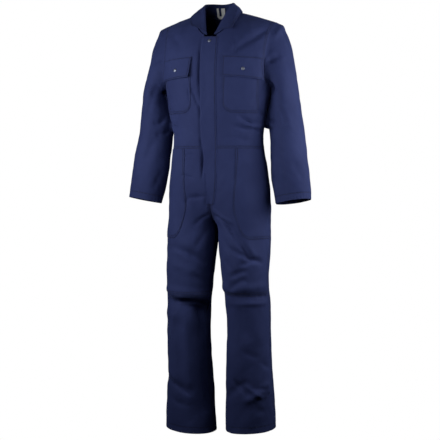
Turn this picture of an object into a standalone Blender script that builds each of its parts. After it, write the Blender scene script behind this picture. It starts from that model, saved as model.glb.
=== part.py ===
"""Boiler suit, filled out as worn: every cut piece is a thin cloth solid of its own.

Metres, +Z up, front towards -Y, the wearer's left towards +X. The origin is at the
base of the neck, level with the tops of the shoulder seams, where the wearer's
shoulders hold the suit up. Heights are negative drops below it.

The trunk and legs are one form: a ring at each level, read from TRUNK. A place on
it is a row number in that table and a bearing round the ring, where 0 is the side
seam, 90 degrees the front and -90 degrees the back. Panels, pockets and flaps are
all patches of that form, and what lies on a panel is the same form moved out.
"""

import math

import bmesh
import bpy
import numpy as np
from mathutils import Vector

# Cloth and seams
CLOTH = 0.0014
SEAM_GAP = 0.0006
SLEEVE_GAP = 0.0009
FORK_GAP = 0.00015
LAYER_LIFT = 0.0010
COLLAR_CLOTH = 0.0016
TAPE = 0.0010

# Levels of the main lines
WAIST = -0.507
KNEE_SEAM = -1.050
FORK = -0.795
HEM = -1.578
RIGHT_LEG_DROP = 0.014
RIDGE = 0.012

# Neck, shoulder and armhole
NECK_HALF_WIDTH = 0.075
NECK_STEPS = 60
FRONT_NECK_LEVEL = -0.0935
BACK_NECK_LEVEL = -0.010
SHOULDER_TIP_X = 0.215
RIDGE_SOFTNESS = 0.100

# Front fastening
PLACKET_HALF_WIDTH = 0.032
PLACKET_TOP = -0.0965
UNDERLAP_X = 0.0240
FLY_FOOT = -0.715
FLY_FOOT_FREE = 0.012
FLY_FOOT_SEWN = 0.016
FLY_CURVE = 4

# Chest pockets and flaps
CHEST_POCKET_TOP = -0.176
CHEST_POCKET_FOOT = -0.376
CHEST_POCKET_IN = 0.056
CHEST_POCKET_OUT = (0.1880, 0.1740)
CHEST_POCKET_WIDTH = 0.150
CHEST_CORNER = (0.030, 0.018)
FLAP_TOP = -0.168
FLAP_FOOT = -0.241
FLAP_SIDE_SLOPE = 0.012
FLAP_IN = 0.053
FLAP_OUT = (0.1915, 0.1930)

# Hip pockets
HIP_POCKET_FOOT = -0.843
HIP_POCKET_IN = (0.0990, 0.1150)
HIP_POCKET_WIDTH = 0.150
HIP_CORNER = (0.040, 0.066)

# Press studs
STUD_RADIUS = 0.0062
STUD_RIM = 0.0012
STUD_DOME = 0.0030
STUD_CLEARANCE = 0.0005
NECK_STUD_LEVEL = -0.113
FLAP_STUD_X = 0.130
FLAP_STUD_LEVEL = -0.214

# Hanging tape
TAPE_X = -0.013
TAPE_TOP = 0.72
TAPE_DROP = 0.55
TAPE_ROUND = 0.15
TAPE_SPREAD = 0.010
TAPE_CLEARANCE = 0.0056
TAPE_WIDTHS = (0.008, 0.009, 0.013, 0.015)
TAPE_STEPS = 15

# How finely each piece is divided
SLEEVE_AROUND = 20
BODICE_ROWS = (SLEEVE_AROUND // 2 + 1, 6)
BODICE_COLUMNS = (6, 5)
FASTENING_COLUMNS = 5
PLACKET_ROWS = 15
FLY_ROWS = 10
SLEEVE_CAP_ROWS = 7
SLEEVE_ROWS = 9
CROTCH_HEIGHT = 0.085
HIP_ROWS = 7
CROTCH_ROWS = 7
THIGH_ROWS = 9
SHIN_ROWS = 16
LEG_COLUMNS = 11
STAND_ROWS = 3
FALL_ROWS = 6
COLLAR_COLUMNS = 7
BACK_NECK_COLUMNS = 4
STAND_CLEARANCE = 0.0042
FALL_CLEARANCE = 0.0028
FALL_LIFT = 0.0007
CHEST_COLUMNS = np.array([0, 0.04, 0.12, 0.24, 0.38, 0.54, 0.70, 0.85, 1.0])
CHEST_ROWS = 9
FLAP_ROWS = 5
HIP_COLUMNS = 9
HIP_POCKET_ROWS = 15
STUD_STEPS = 3
STUD_SIDES = 16

RIGHT, LEFT = -1, 1

COLORS = {
    "twill": ((0.020, 0.028, 0.090, 1), 0.72, 0.0),
    "stud": ((0.42, 0.43, 0.45, 1), 0.35, 1.0),
    "tape": ((0.85, 0.85, 0.84, 1), 0.80, 0.0),
}


def named_columns(names, rows):
    """A table as a dictionary of arrays, one for each named column."""
    return dict(zip(names.split(), np.array(rows, float).T))


# One ring per row. The ring's centre, side and inner edge are X of one half of the suit,
# so an inner edge below zero is cut off at the middle. Rise is the slope of the ring's
# plane across the suit, and power is how square the ring is (2 is an ellipse).
TRUNK = named_columns(
    "level centre side inner middle front back power rise",
    [
        (0.0120, 0.000, 0.2300, -0.2300, 0.012, 0.000, 0.000, 2.00, -0.38),
        (0.0098, 0.000, 0.2300, -0.2300, 0.012, 0.026, 0.022, 2.05, -0.38),
        (-0.0010, 0.000, 0.2300, -0.2300, 0.012, 0.047, 0.041, 2.10, -0.36),
        (-0.0320, 0.000, 0.2280, -0.2280, 0.009, 0.083, 0.070, 2.25, -0.30),
        (-0.0800, 0.000, 0.2240, -0.2240, 0.004, 0.112, 0.096, 2.40, -0.19),
        (-0.1500, 0.000, 0.2180, -0.2180, -0.002, 0.131, 0.117, 2.60, -0.09),
        (-0.2250, 0.000, 0.2110, -0.2110, -0.006, 0.139, 0.127, 2.65, -0.02),
        (-0.3000, 0.000, 0.2020, -0.2020, -0.010, 0.136, 0.124, 2.50, 0.00),
        (-0.3750, 0.000, 0.1890, -0.1890, -0.012, 0.131, 0.116, 2.40, 0.00),
        (-0.4500, 0.000, 0.1745, -0.1745, -0.014, 0.126, 0.110, 2.30, 0.00),
        (-0.5070, 0.000, 0.1770, -0.1770, -0.0145, 0.123, 0.110, 2.25, 0.00),
        (-0.5750, 0.012, 0.1865, -0.1700, -0.010, 0.128, 0.122, 2.25, 0.00),
        (-0.6450, 0.036, 0.1935, -0.1480, -0.004, 0.131, 0.132, 2.25, 0.00),
        (-0.7150, 0.070, 0.1955, -0.0900, 0.000, 0.130, 0.132, 2.25, 0.00),
        (-0.7600, 0.090, 0.1955, -0.0350, 0.003, 0.127, 0.124, 2.25, 0.00),
        (-0.7950, 0.100, 0.1970, 0.0000, -0.001, 0.122, 0.116, 2.25, 0.00),
        (-0.8500, 0.104, 0.1990, 0.0080, -0.011, 0.115, 0.107, 2.25, 0.00),
        (-0.9140, 0.107, 0.1990, 0.0140, -0.022, 0.105, 0.105, 2.20, 0.00),
        (-0.9900, 0.110, 0.1975, 0.0230, -0.028, 0.096, 0.101, 2.15, 0.00),
        (-1.0750, 0.116, 0.2005, 0.0325, -0.023, 0.090, 0.094, 2.10, 0.00),
        (-1.1600, 0.119, 0.2040, 0.0370, -0.017, 0.086, 0.091, 2.10, 0.01),
        (-1.2350, 0.119, 0.2050, 0.0355, -0.014, 0.085, 0.090, 2.10, 0.02),
        (-1.3100, 0.118, 0.2060, 0.0330, -0.008, 0.087, 0.090, 2.10, 0.03),
        (-1.3900, 0.118, 0.2100, 0.0285, -0.002, 0.089, 0.092, 2.10, 0.05),
        (-1.4700, 0.120, 0.2150, 0.0285, 0.005, 0.091, 0.093, 2.10, 0.07),
        (-1.5780, 0.120, 0.2170, 0.0240, 0.0140, 0.094, 0.094, 2.10, 0.09),
    ],
)

# The armhole from the shoulder tip down to the underarm, as X of its front and back edge.
ARMHOLE = named_columns(
    "level front_x back_x",
    [
        (0.012, 0.2150, 0.2150),
        (-0.034, 0.2070, 0.2060),
        (-0.105, 0.2000, 0.1985),
        (-0.175, 0.1975, 0.1965),
        (-0.235, 0.1985, 0.1985),
        (-0.268, 0.2030, 0.2030),
        (-0.277, 0.2062, 0.2062),
    ],
)

# Sleeve rings from just below the underarm to the cuff. The rises tilt each ring's plane.
SLEEVE = named_columns(
    "level x y half_width half_depth outer_rise front_rise",
    [
        (-0.300, 0.2580, 0.008, 0.0490, 0.086, 0.04, 0.00),
        (-0.360, 0.2570, 0.008, 0.0590, 0.080, 0.06, 0.02),
        (-0.410, 0.2590, 0.008, 0.0650, 0.075, 0.08, 0.05),
        (-0.460, 0.2650, 0.006, 0.0655, 0.071, 0.11, 0.09),
        (-0.530, 0.2730, -0.005, 0.0690, 0.066, 0.13, 0.13),
        (-0.600, 0.2815, -0.017, 0.0705, 0.060, 0.14, 0.15),
        (-0.660, 0.2905, -0.026, 0.0693, 0.054, 0.15, 0.15),
        (-0.704, 0.2965, -0.032, 0.0660, 0.049, 0.16, 0.15),
    ],
)

# How strongly the sleeve leaves the armhole, and how far it turns into the valley there.
SLEEVE_HEAD = named_columns(
    "reach valley",
    [
        (0.210, 0.00),
        (0.120, 0.10),
        (0.060, 0.45),
        (0.035, 0.90),
        (0.022, 0.60),
        (0.020, 0.00),
        (0.022, 0.45),
        (0.035, 0.70),
        (0.070, 0.30),
        (0.130, 0.05),
    ],
)

# The collar from its front end to the middle of the back: the fold line at the top of the
# stand, then the lower edge of the fall.
COLLAR = named_columns(
    "fold_x fold_y fold_z edge_x edge_y edge_z",
    [
        (0.0155, -0.1030, -0.0730, 0.0770, -0.1080, -0.0610),
        (0.0300, -0.0790, -0.0340, 0.0860, -0.0820, -0.0390),
        (0.0430, -0.0470, 0.0140, 0.0930, -0.0450, -0.0085),
        (0.0470, -0.0170, 0.0420, 0.0895, -0.0050, 0.0110),
        (0.0380, 0.0250, 0.0490, 0.0750, 0.0490, 0.0080),
        (0.0000, 0.0450, 0.0490, 0.0000, 0.0830, -0.0030),
    ],
)
COLLAR_FRONT_X = 0.012
COLLAR_BULGE = 0.004

# The largest folds: which half, where each runs (bearing in degrees, level), its half-width
# and its height, negative for a trough.
FOLDS = named_columns(
    "half from_bearing from_level to_bearing to_level width height",
    [
        (RIGHT, 30, -1.030, 165, -1.060, 0.020, 0.010),
        (RIGHT, 40, -1.075, 170, -1.115, 0.017, -0.012),
        (RIGHT, 10, -1.130, 90, -1.120, 0.020, 0.006),
        (LEFT, 20, -1.020, 150, -1.030, 0.018, 0.006),
        (LEFT, 20, -1.060, 160, -1.055, 0.014, -0.007),
        (LEFT, 30, -1.400, 80, -1.450, 0.016, 0.008),
        (LEFT, 85, -1.385, 140, -1.440, 0.016, -0.007),
        (RIGHT, 20, -1.380, 110, -1.410, 0.016, -0.005),
    ],
)
FOLD_GIRTH = 0.095


def smooth(values, place):
    """Value of a column at fractional row numbers, as a smooth curve through its rows."""
    values = np.asarray(values, float)
    place = np.clip(np.asarray(place, float), 0, len(values) - 1)
    low = np.minimum(place.astype(int), len(values) - 2)
    part = place - low
    slope = np.gradient(values)
    return hermite(values[low], slope[low], values[low + 1], slope[low + 1], part)


def hermite(start, leave, end, arrive, part):
    """Cubic from start to end that leaves and arrives with the given slopes."""
    square, cube = part**2, part**3
    return (
        (2 * cube - 3 * square + 1) * start
        + (cube - 2 * square + part) * leave
        + (3 * square - 2 * cube) * end
        + (cube - square) * arrive
    )


FINE_PLACES = np.linspace(0, len(TRUNK["level"]) - 1, 2400)
FINE_LEVELS = smooth(TRUNK["level"], FINE_PLACES)


def place_of(level):
    """Row number in TRUNK of a level."""
    return np.interp(-np.asarray(level, float), -FINE_LEVELS, FINE_PLACES)


def trunk_ring(place):
    """The sizes of the ring at each row number."""
    return {name: smooth(values, place) for name, values in TRUNK.items()}


def bearing_at(place, x):
    """Bearing where the ring passes a distance x from the middle, on its front."""
    ring = trunk_ring(place)
    offset = x - ring["centre"]
    reach = np.where(offset > 0, ring["side"] - ring["centre"], ring["centre"] - ring["inner"])
    share = np.clip(np.abs(offset) / reach, 0, 1)
    return np.arccos(np.sign(offset) * share ** (ring["power"] / 2))


def plain_form(place, bearing):
    """The unfolded form of the wearer's left half, as an array of points."""
    ring = trunk_ring(place)
    cosine, sine = np.cos(bearing), np.sin(bearing)
    across = np.abs(cosine) ** (2 / ring["power"])
    along = np.abs(sine) ** (2 / ring["power"])
    outward = ring["centre"] + (ring["side"] - ring["centre"]) * across
    inward = ring["centre"] - (ring["centre"] - ring["inner"]) * across
    x = np.where(cosine > 0, outward, inward)
    y = ring["middle"] + np.where(sine > 0, -ring["front"], ring["back"]) * along
    pivot = np.where(ring["level"] > WAIST, NECK_HALF_WIDTH, ring["centre"])
    tilt = np.hypot(x, RIDGE_SOFTNESS) - np.hypot(pivot, RIDGE_SOFTNESS)
    return np.stack([x, y, ring["level"] + ring["rise"] * tilt], axis=-1)


def unit(vectors):
    """Vectors scaled to length one."""
    return vectors / np.maximum(np.linalg.norm(vectors, axis=-1, keepdims=True), 1e-9)


def form_normal(place, bearing):
    """Outward direction of the unfolded form, which runs on over the shoulder ridge."""
    step = 0.02
    over_ridge = np.where(place < step, -1, 1)
    before = plain_form(np.abs(place - step), bearing * over_ridge)
    down = plain_form(place + step, bearing) - before
    around = plain_form(place, bearing + step) - plain_form(place, bearing - step)
    return unit(np.cross(around, down))


def fold_height(half, place, bearing):
    """How far the largest folds lift or sink the cloth."""
    level = smooth(TRUNK["level"], place)
    height = np.zeros(np.broadcast(level, bearing).shape)
    for row in zip(*FOLDS.values()):
        fold_half, from_bearing, from_level, to_bearing, to_level, width, rise = row
        if fold_half != half:
            continue
        start = np.array([math.radians(from_bearing) * FOLD_GIRTH, from_level])
        run = np.array([math.radians(to_bearing) * FOLD_GIRTH, to_level]) - start
        offset = np.stack([bearing * FOLD_GIRTH - start[0], level - start[1]], axis=-1)
        share = np.clip(offset @ run / (run @ run), 0, 1)
        gap = np.linalg.norm(offset - share[..., None] * run, axis=-1)
        height += rise * np.exp(-((gap / width) ** 2))
    return height


def trunk_points(half, place, bearing, lift=0.0):
    """Points of the folded cloth on one half of the suit, moved out by lift."""
    place, bearing = np.broadcast_arrays(place, bearing)
    height = fold_height(half, place, bearing) + lift
    points = plain_form(place, bearing) + form_normal(place, bearing) * height[..., None]
    if half == RIGHT:
        below = np.clip((FORK - smooth(TRUNK["level"], place)) / (FORK - HEM), 0, 1)
        points[..., 2] -= RIGHT_LEG_DROP * below
    return points * (half, 1, 1)


def layer_lifts(layer):
    """Lift of a layer's outer and inner skin. Layer 0 is the suit, and 1 lies on it."""
    outer = layer * (LAYER_LIFT + CLOTH)
    return outer, outer - CLOTH


def panel(half, place, bearing, layer=0):
    """Outer and inner skin of a piece on one half of the suit."""
    skins = [trunk_points(half, place, bearing, lift) for lift in layer_lifts(layer)]
    return np.stack(skins)


def front_panel(x, level, layer):
    """Skins of a piece on the front, at signed distances x from the middle line."""
    place = place_of(level)
    bearing = bearing_at(place, np.abs(x))
    left = panel(LEFT, place, bearing, layer)
    right = panel(RIGHT, place, bearing, layer)
    return np.where((x < 0)[..., None], right, left)


def material(kind):
    """The material of one kind, made once."""
    found = bpy.data.materials.get(kind)
    if found:
        return found
    color, roughness, metallic = COLORS[kind]
    made = bpy.data.materials.new(kind)
    made.use_nodes = True
    shader = made.node_tree.nodes["Principled BSDF"]
    shader.inputs["Base Color"].default_value = color
    shader.inputs["Roughness"].default_value = roughness
    shader.inputs["Metallic"].default_value = metallic
    return made


def add_object(name, mesh, kind):
    """Puts a mesh in the suit's collection as a named object with its own material."""
    own = material(kind).copy()
    own.name = name
    mesh.materials.append(own)
    made = bpy.data.objects.new(name, mesh)
    SUIT.objects.link(made)
    return made


def add_cloth(name, skins, kind="twill", closed=False):
    """A cloth solid between two grids of points: its outer skin, then its inner one.

    Seen from outside, the grids' columns run to the right and their rows run down. A
    closed grid joins its last column to its first, and its top and foot stay open. Both
    skins are split along the same, shorter diagonal, so the wall keeps its thickness.
    """
    rows, columns = skins[0].shape[:2]
    spans = columns if closed else columns - 1
    edit = bmesh.new()
    outer, inner = (
        [[edit.verts.new(point) for point in row] for row in skin.tolist()] for skin in skins
    )
    for row in range(rows - 1):
        for column in range(spans):
            after = (column + 1) % columns
            corners = [(row, column), (row + 1, column), (row + 1, after), (row, after)]
            spread = [skins[0][corners[k]] - skins[0][corners[k + 2]] for k in (0, 1)]
            if np.linalg.norm(spread[1]) < np.linalg.norm(spread[0]):
                corners = corners[1:] + corners[:1]
            edit.faces.new([outer[r][c] for r, c in corners])
            edit.faces.new([inner[r][c] for r, c in corners[:1] + corners[:0:-1]])
    rims = [[(0, column % columns) for column in range(spans + 1)]]
    rims.append([(rows - 1, column % columns) for column in reversed(range(spans + 1))])
    if not closed:
        rims.append([(row, 0) for row in reversed(range(rows))])
        rims.append([(row, columns - 1) for row in range(rows)])
    for rim in rims:
        for (r, c), (next_r, next_c) in zip(rim, rim[1:]):
            far = (inner[next_r][next_c], inner[r][c])
            edit.faces.new((outer[r][c], outer[next_r][next_c]) + far)
    bmesh.ops.triangulate(edit, faces=edit.faces, quad_method="FIXED")
    mesh = bpy.data.meshes.new(name)
    edit.to_mesh(mesh)
    edit.free()
    mesh.shade_smooth()
    mesh.set_sharp_from_angle(angle=math.radians(50))
    return add_object(name, mesh, kind)


def facing(half, skins):
    """The grids with their columns running to the right as seen from outside."""
    return skins if half == LEFT else skins[:, :, ::-1]


def mirrored(skins):
    """The same grids on the other side of the suit, in the same column order."""
    return skins * (-1, 1, 1)


def pull_in(skins, edges, gap=SEAM_GAP):
    """Draws the named edges of a piece in by half a seam gap."""
    skins = skins.copy()
    sides = {
        "top": (skins[:, 0], skins[:, 1]),
        "foot": (skins[:, -1], skins[:, -2]),
        "start": (skins[:, :, 0], skins[:, :, 1]),
        "end": (skins[:, :, -1], skins[:, :, -2]),
    }
    for edge in edges.split():
        line, inside = sides[edge]
        line += unit(inside - line) * gap / 2
    return skins


def coons(top, foot, start, end):
    """Fills a four-sided outline. The lists share their corner points."""
    across = np.linspace(0, 1, len(top))[None, :, None]
    down = np.linspace(0, 1, len(start))[:, None, None]
    rails = (1 - down) * top[None] + down * foot[None]
    posts = (1 - across) * start[:, None] + across * end[:, None]
    corners = (1 - down) * ((1 - across) * top[0] + across * top[-1])
    corners = corners + down * ((1 - across) * foot[0] + across * foot[-1])
    return rails + posts - corners


def armhole_edge(side, count):
    """Row numbers and bearings down the armhole, from the shoulder tip to the underarm."""
    rows = np.linspace(0, len(ARMHOLE["level"]) - 1, count)
    place = place_of(smooth(ARMHOLE["level"], rows))
    widest = smooth(TRUNK["side"], place)
    x = np.minimum(smooth(ARMHOLE[side + "_x"], rows), widest)
    x[-1] = widest[-1]
    bearing = bearing_at(place, x)
    return np.stack([place, bearing if side == "front" else -bearing], axis=-1)


def neck_places(side, angle):
    """Row numbers and bearings of the neckline at angles from its middle to the shoulder."""
    lowest = FRONT_NECK_LEVEL if side == "front" else BACK_NECK_LEVEL
    place = place_of(RIDGE + (lowest - RIDGE) * np.cos(angle))
    bearing = bearing_at(place, NECK_HALF_WIDTH * np.sin(angle))
    return np.stack([place, bearing if side == "front" else -bearing], axis=-1)


def run_lengths(points):
    """Distance along a line of points, from its start to each of them."""
    steps = np.linalg.norm(np.diff(points, axis=0), axis=1)
    return np.concatenate([[0], np.cumsum(steps)])


def neckline(side, from_x, count):
    """Evenly spaced row numbers and bearings from near the middle to the shoulder."""
    angle = np.linspace(math.asin(from_x / NECK_HALF_WIDTH), math.pi / 2, NECK_STEPS)
    run = run_lengths(plain_form(*neck_places(side, angle).T))
    return neck_places(side, np.interp(np.linspace(0, run[-1], count), run, angle))


def bodice_grid(side, from_x):
    """Row numbers and bearings of half a bodice panel, its neckline first."""
    neck_count, shoulder_count = BODICE_COLUMNS
    arm_count, side_count = BODICE_ROWS
    neck = neckline(side, from_x, neck_count)
    shoulder_x = np.linspace(NECK_HALF_WIDTH, SHOULDER_TIP_X, shoulder_count)
    shoulder = np.stack([0 * shoulder_x, bearing_at(0 * shoulder_x, shoulder_x)], axis=-1)
    if side == "back":
        shoulder[:, 1] *= -1
    top = np.concatenate([neck, shoulder[1:]])
    arm = armhole_edge(side, arm_count)
    side_places = np.linspace(arm[-1, 0], place_of(WAIST), side_count)
    seam = np.stack([side_places, 0 * side_places], axis=-1)
    end = np.concatenate([arm, seam[1:]])
    middle = np.linspace(top[0, 0], place_of(WAIST), len(end))
    bearing = bearing_at(middle, from_x)
    start = np.stack([middle, bearing if side == "front" else -bearing], axis=-1)
    foot_bearing = start[-1, 1] * (1 - np.linspace(0, 1, len(top)))
    foot = np.stack([np.full(len(top), start[-1, 0]), foot_bearing], axis=-1)
    return coons(top, foot, start, end)


def build_bodice():
    """Two fronts, the right one running under the fastening, and a one-piece back."""
    for name, half, from_x in (
        ("front_right", RIGHT, -UNDERLAP_X),
        ("front_left", LEFT, UNDERLAP_X),
    ):
        grid = bodice_grid("front", from_x)
        skins = pull_in(panel(half, grid[..., 0], grid[..., 1]), "top foot start end")
        add_cloth(name, facing(half, skins))
    grid = bodice_grid("back", 0.0)
    side = pull_in(panel(LEFT, grid[..., 0], grid[..., 1]), "top foot end")
    add_cloth("back", np.concatenate([side[:, :, ::-1], mirrored(side)[:, :, 1:]], axis=2))


def build_fastening():
    """The concealed front: the placket on the bodice and the fly below the waist seam."""
    share = np.linspace(-1, 1, FASTENING_COLUMNS)[None]
    level = np.linspace(PLACKET_TOP, WAIST, PLACKET_ROWS)[:, None]
    x = share * PLACKET_HALF_WIDTH + 0 * level
    add_cloth("placket", pull_in(front_panel(x, level + 0 * x, 1), "foot"))
    level = np.linspace(WAIST, FLY_FOOT, FLY_ROWS)[:, None]
    down = (WAIST - level) / (WAIST - FLY_FOOT)
    free = PLACKET_HALF_WIDTH + (FLY_FOOT_FREE - PLACKET_HALF_WIDTH) * down
    sewn = PLACKET_HALF_WIDTH + (FLY_FOOT_SEWN - PLACKET_HALF_WIDTH) * down**FLY_CURVE
    x = share * np.where(share < 0, free, sewn)
    add_cloth("fly", pull_in(front_panel(x, level + 0 * x, 1), "top"))


def leg_levels():
    """Levels of the leg rows above and below the knee seam, closer together at the fork."""
    above = np.linspace(WAIST, FORK + CROTCH_HEIGHT, HIP_ROWS)
    crotch = FORK + CROTCH_HEIGHT * np.linspace(1, 0, CROTCH_ROWS)[1:] ** 1.6
    thigh = np.linspace(FORK, KNEE_SEAM, THIGH_ROWS)[1:]
    return np.concatenate([above, crotch, thigh]), np.linspace(KNEE_SEAM, HEM, SHIN_ROWS)


def leg_panel(half, levels, side):
    """Skins of one leg panel, from its middle or inseam edge to the side seam."""
    place = place_of(levels)[:, None]
    inner = bearing_at(place, FORK_GAP)
    share = np.linspace(1, 0, LEG_COLUMNS)[None]
    return panel(half, place, inner * share * (1 if side == "front" else -1))


def build_legs():
    """Fronts cut across at the knee, and backs from waist to hem."""
    upper, lower = leg_levels()
    whole = np.concatenate([upper, lower[1:]])
    for half, side in ((RIGHT, "right"), (LEFT, "left")):
        skins = pull_in(leg_panel(half, upper, "front"), "top foot start end")
        add_cloth(f"leg_front_{side}_upper", facing(half, skins))
        skins = pull_in(leg_panel(half, lower, "front"), "top start end")
        add_cloth(f"leg_front_{side}_lower", facing(half, skins))
        skins = pull_in(leg_panel(half, whole, "back"), "top start end")
        add_cloth(f"leg_back_{side}", facing(-half, skins))


def sleeve_rings(rows, turns):
    """Points of the sleeve's rings at fractional table rows, outer side first."""
    ring = {name: smooth(values, rows)[:, None] for name, values in SLEEVE.items()}
    out = np.cos(turns)[None] * ring["half_width"]
    forward = np.sin(turns)[None] * ring["half_depth"]
    z = ring["level"] + ring["outer_rise"] * out + ring["front_rise"] * forward
    return np.stack([ring["x"] + out, ring["y"] - forward, z], axis=-1)


def armhole_ring(turns):
    """Points of the armhole and the directions in which the sleeve leaves it."""
    last = len(ARMHOLE["level"]) - 1
    rows = np.where(turns <= math.pi, turns, 2 * math.pi - turns) / math.pi * last
    place = place_of(smooth(ARMHOLE["level"], rows))
    widest = smooth(TRUNK["side"], place)
    forward = turns <= math.pi
    edge = np.where(forward, smooth(ARMHOLE["front_x"], rows), smooth(ARMHOLE["back_x"], rows))
    edge = np.where(rows > last - 0.01, widest, np.minimum(edge, widest))
    bearing = bearing_at(place, edge) * np.where(forward, 1, -1)
    points = trunk_points(LEFT, place, bearing)
    normal = form_normal(place, bearing)
    along = unit(np.roll(points, -1, axis=0) - np.roll(points, 1, axis=0))
    leave = unit(np.cross(normal, along))
    return points, leave, normal


def sleeve_points():
    """Points of the left sleeve: its head lofted from the armhole, then its rings."""
    turns = np.arange(SLEEVE_AROUND) * 2 * math.pi / SLEEVE_AROUND
    start, leave, normal = armhole_ring(turns)
    heads = len(SLEEVE_HEAD["reach"])
    head_place = turns / (2 * math.pi) * heads
    wrapped = {name: np.append(values, values[0]) for name, values in SLEEVE_HEAD.items()}
    reach = smooth(wrapped["reach"], head_place)[:, None]
    valley = smooth(wrapped["valley"], head_place)[:, None]
    leave = unit(leave * np.cos(valley) - normal * np.sin(valley)) * reach
    first = sleeve_rings(np.array([0.0]), turns)[0]
    second = sleeve_rings(np.array([0.05]), turns)[0]
    drop = np.linalg.norm(first - start, axis=-1, keepdims=True)
    arrive = unit(second - first) * np.maximum(drop, 0.03)
    share = np.linspace(0, 1, SLEEVE_CAP_ROWS + 1)[:, None, None]
    head = hermite(start[None], leave[None], first[None], arrive[None], share)
    head[0] += unit(head[1] - head[0]) * SLEEVE_GAP
    rows = np.linspace(0, len(SLEEVE["level"]) - 1, SLEEVE_ROWS + 1)[1:]
    return np.concatenate([head, sleeve_rings(rows, turns)])


def grid_normal(points, closed):
    """Outward directions of a grid whose columns run to the right and rows run down."""
    if closed:
        across = np.roll(points, -1, axis=1) - np.roll(points, 1, axis=1)
    else:
        across = np.gradient(points, axis=1)
    return unit(np.cross(np.gradient(points, axis=0), across))


def build_sleeves():
    """One-piece set-in sleeves, hanging just clear of the body."""
    points = sleeve_points()[:, ::-1]
    skins = np.stack([points, points - grid_normal(points, True) * CLOTH])
    add_cloth("sleeve_left", skins, closed=True)
    add_cloth("sleeve_right", mirrored(skins)[:, :, ::-1], closed=True)


def collar_seam(count):
    """The neckline from the collar's front end to the middle of the back."""
    front = neckline("front", COLLAR_FRONT_X, count)
    back = neckline("back", 0.0, count)[::-1]
    places = np.concatenate([front, back[1:]])
    points = trunk_points(LEFT, places[:, 0], places[:, 1])
    run = run_lengths(points)
    even = np.linspace(0, run[-1], 2 * count - 1)
    return np.stack([np.interp(even, run, points[:, axis]) for axis in range(3)], axis=-1)


def collar_lines(count):
    """The seam, fold line and fall edge of half the collar."""
    seam = collar_seam(count)
    rows = np.linspace(0, len(COLLAR["fold_x"]) - 1, 2 * count - 1)
    columns = {}
    for name, values in COLLAR.items():
        beyond = -values[-2] if name.endswith("_x") else values[-2]
        columns[name] = smooth(np.append(values, beyond), rows)
    fold = np.stack([columns["fold_x"], columns["fold_y"], columns["fold_z"]], axis=-1)
    edge = np.stack([columns["edge_x"], columns["edge_y"], columns["edge_z"]], axis=-1)
    return seam, fold, edge


def whole_collar(half_points, lift):
    """Skins over both halves of the neck, the outer one lifted off the given points."""
    points = np.concatenate([half_points, mirrored(half_points)[:, -2::-1]], axis=1)
    normal = grid_normal(points, False)
    return np.stack([points + normal * lift, points + normal * (lift - COLLAR_CLOTH)])


def build_collar():
    """A stand round the neck and a fall that turns down over it."""
    seam, fold, edge = collar_lines(COLLAR_COLUMNS)
    share = np.linspace(1, 0, STAND_ROWS)[:, None, None]
    up = unit(fold - seam)
    foot = seam + up * STAND_CLEARANCE
    top = fold - up * FALL_CLEARANCE
    add_cloth("collar_stand", whole_collar((1 - share) * foot + share * top, 0.0))
    share = np.linspace(0, 1, FALL_ROWS)[:, None, None]
    away = unit((edge - fold) * (1, 1, 0))
    top = fold + away * FALL_CLEARANCE
    bulge = np.sin(np.pi * share) * COLLAR_BULGE * unit(away + (0, 0, 1))
    lift = FALL_LIFT + COLLAR_CLOTH
    add_cloth("collar_fall", whole_collar((1 - share) * top + share * edge + bulge, lift))


def corner_rise(distance, width, height):
    """How far a rounded corner lifts a pocket's foot at a distance from its inner edge."""
    inside = np.clip(1 - distance / width, 0, 1)
    return height * (1 - np.sqrt(1 - inside**2))


def chest_piece(half, edges, levels, columns, layer):
    """Skins of a piece on the chest between two edges and from its top to its foot."""
    place = place_of(levels)
    inner, outer = (bearing_at(place, edge) for edge in edges)
    return facing(half, panel(half, place, inner + (outer - inner) * columns, layer))


def build_chest_pockets():
    """Patch pockets with a rounded lower inner corner, and the flaps over them."""
    columns = CHEST_COLUMNS[None]
    for half, side in ((RIGHT, "right"), (LEFT, "left")):
        down = np.linspace(0, 1, CHEST_ROWS)[:, None]
        outer = CHEST_POCKET_OUT[0] + (CHEST_POCKET_OUT[1] - CHEST_POCKET_OUT[0]) * down
        corner = corner_rise(columns * CHEST_POCKET_WIDTH, *CHEST_CORNER)
        levels = CHEST_POCKET_TOP + (CHEST_POCKET_FOOT + corner - CHEST_POCKET_TOP) * down
        skins = chest_piece(half, (CHEST_POCKET_IN, outer), levels, columns, 1)
        add_cloth(f"chest_pocket_{side}", skins)
        down = np.linspace(0, 1, FLAP_ROWS)[:, None]
        outer = FLAP_OUT[0] + (FLAP_OUT[1] - FLAP_OUT[0]) * down
        levels = FLAP_TOP + (FLAP_FOOT - FLAP_SIDE_SLOPE * columns - FLAP_TOP) * down
        add_cloth(f"chest_flap_{side}", chest_piece(half, (FLAP_IN, outer), levels, columns, 2))


def build_hip_pockets():
    """Long patch pockets set into the waist and side seams, with a cut-off inner corner."""
    share = np.linspace(0, 1, HIP_COLUMNS)[None]
    down = np.linspace(0, 1, HIP_POCKET_ROWS)[:, None]
    inner = HIP_POCKET_IN[0] + (HIP_POCKET_IN[1] - HIP_POCKET_IN[0]) * down
    straight = place_of(WAIST + (HIP_POCKET_FOOT - WAIST) * down)
    bearing = bearing_at(straight, inner) * (1 - share)
    corner = corner_rise(share * HIP_POCKET_WIDTH, *HIP_CORNER)
    place = place_of(WAIST + (HIP_POCKET_FOOT + corner - WAIST) * down)
    for half, side in ((RIGHT, "right"), (LEFT, "left")):
        skins = pull_in(panel(half, place, bearing, 1), "top end")
        add_cloth(f"hip_pocket_{side}", facing(half, skins))


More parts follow.
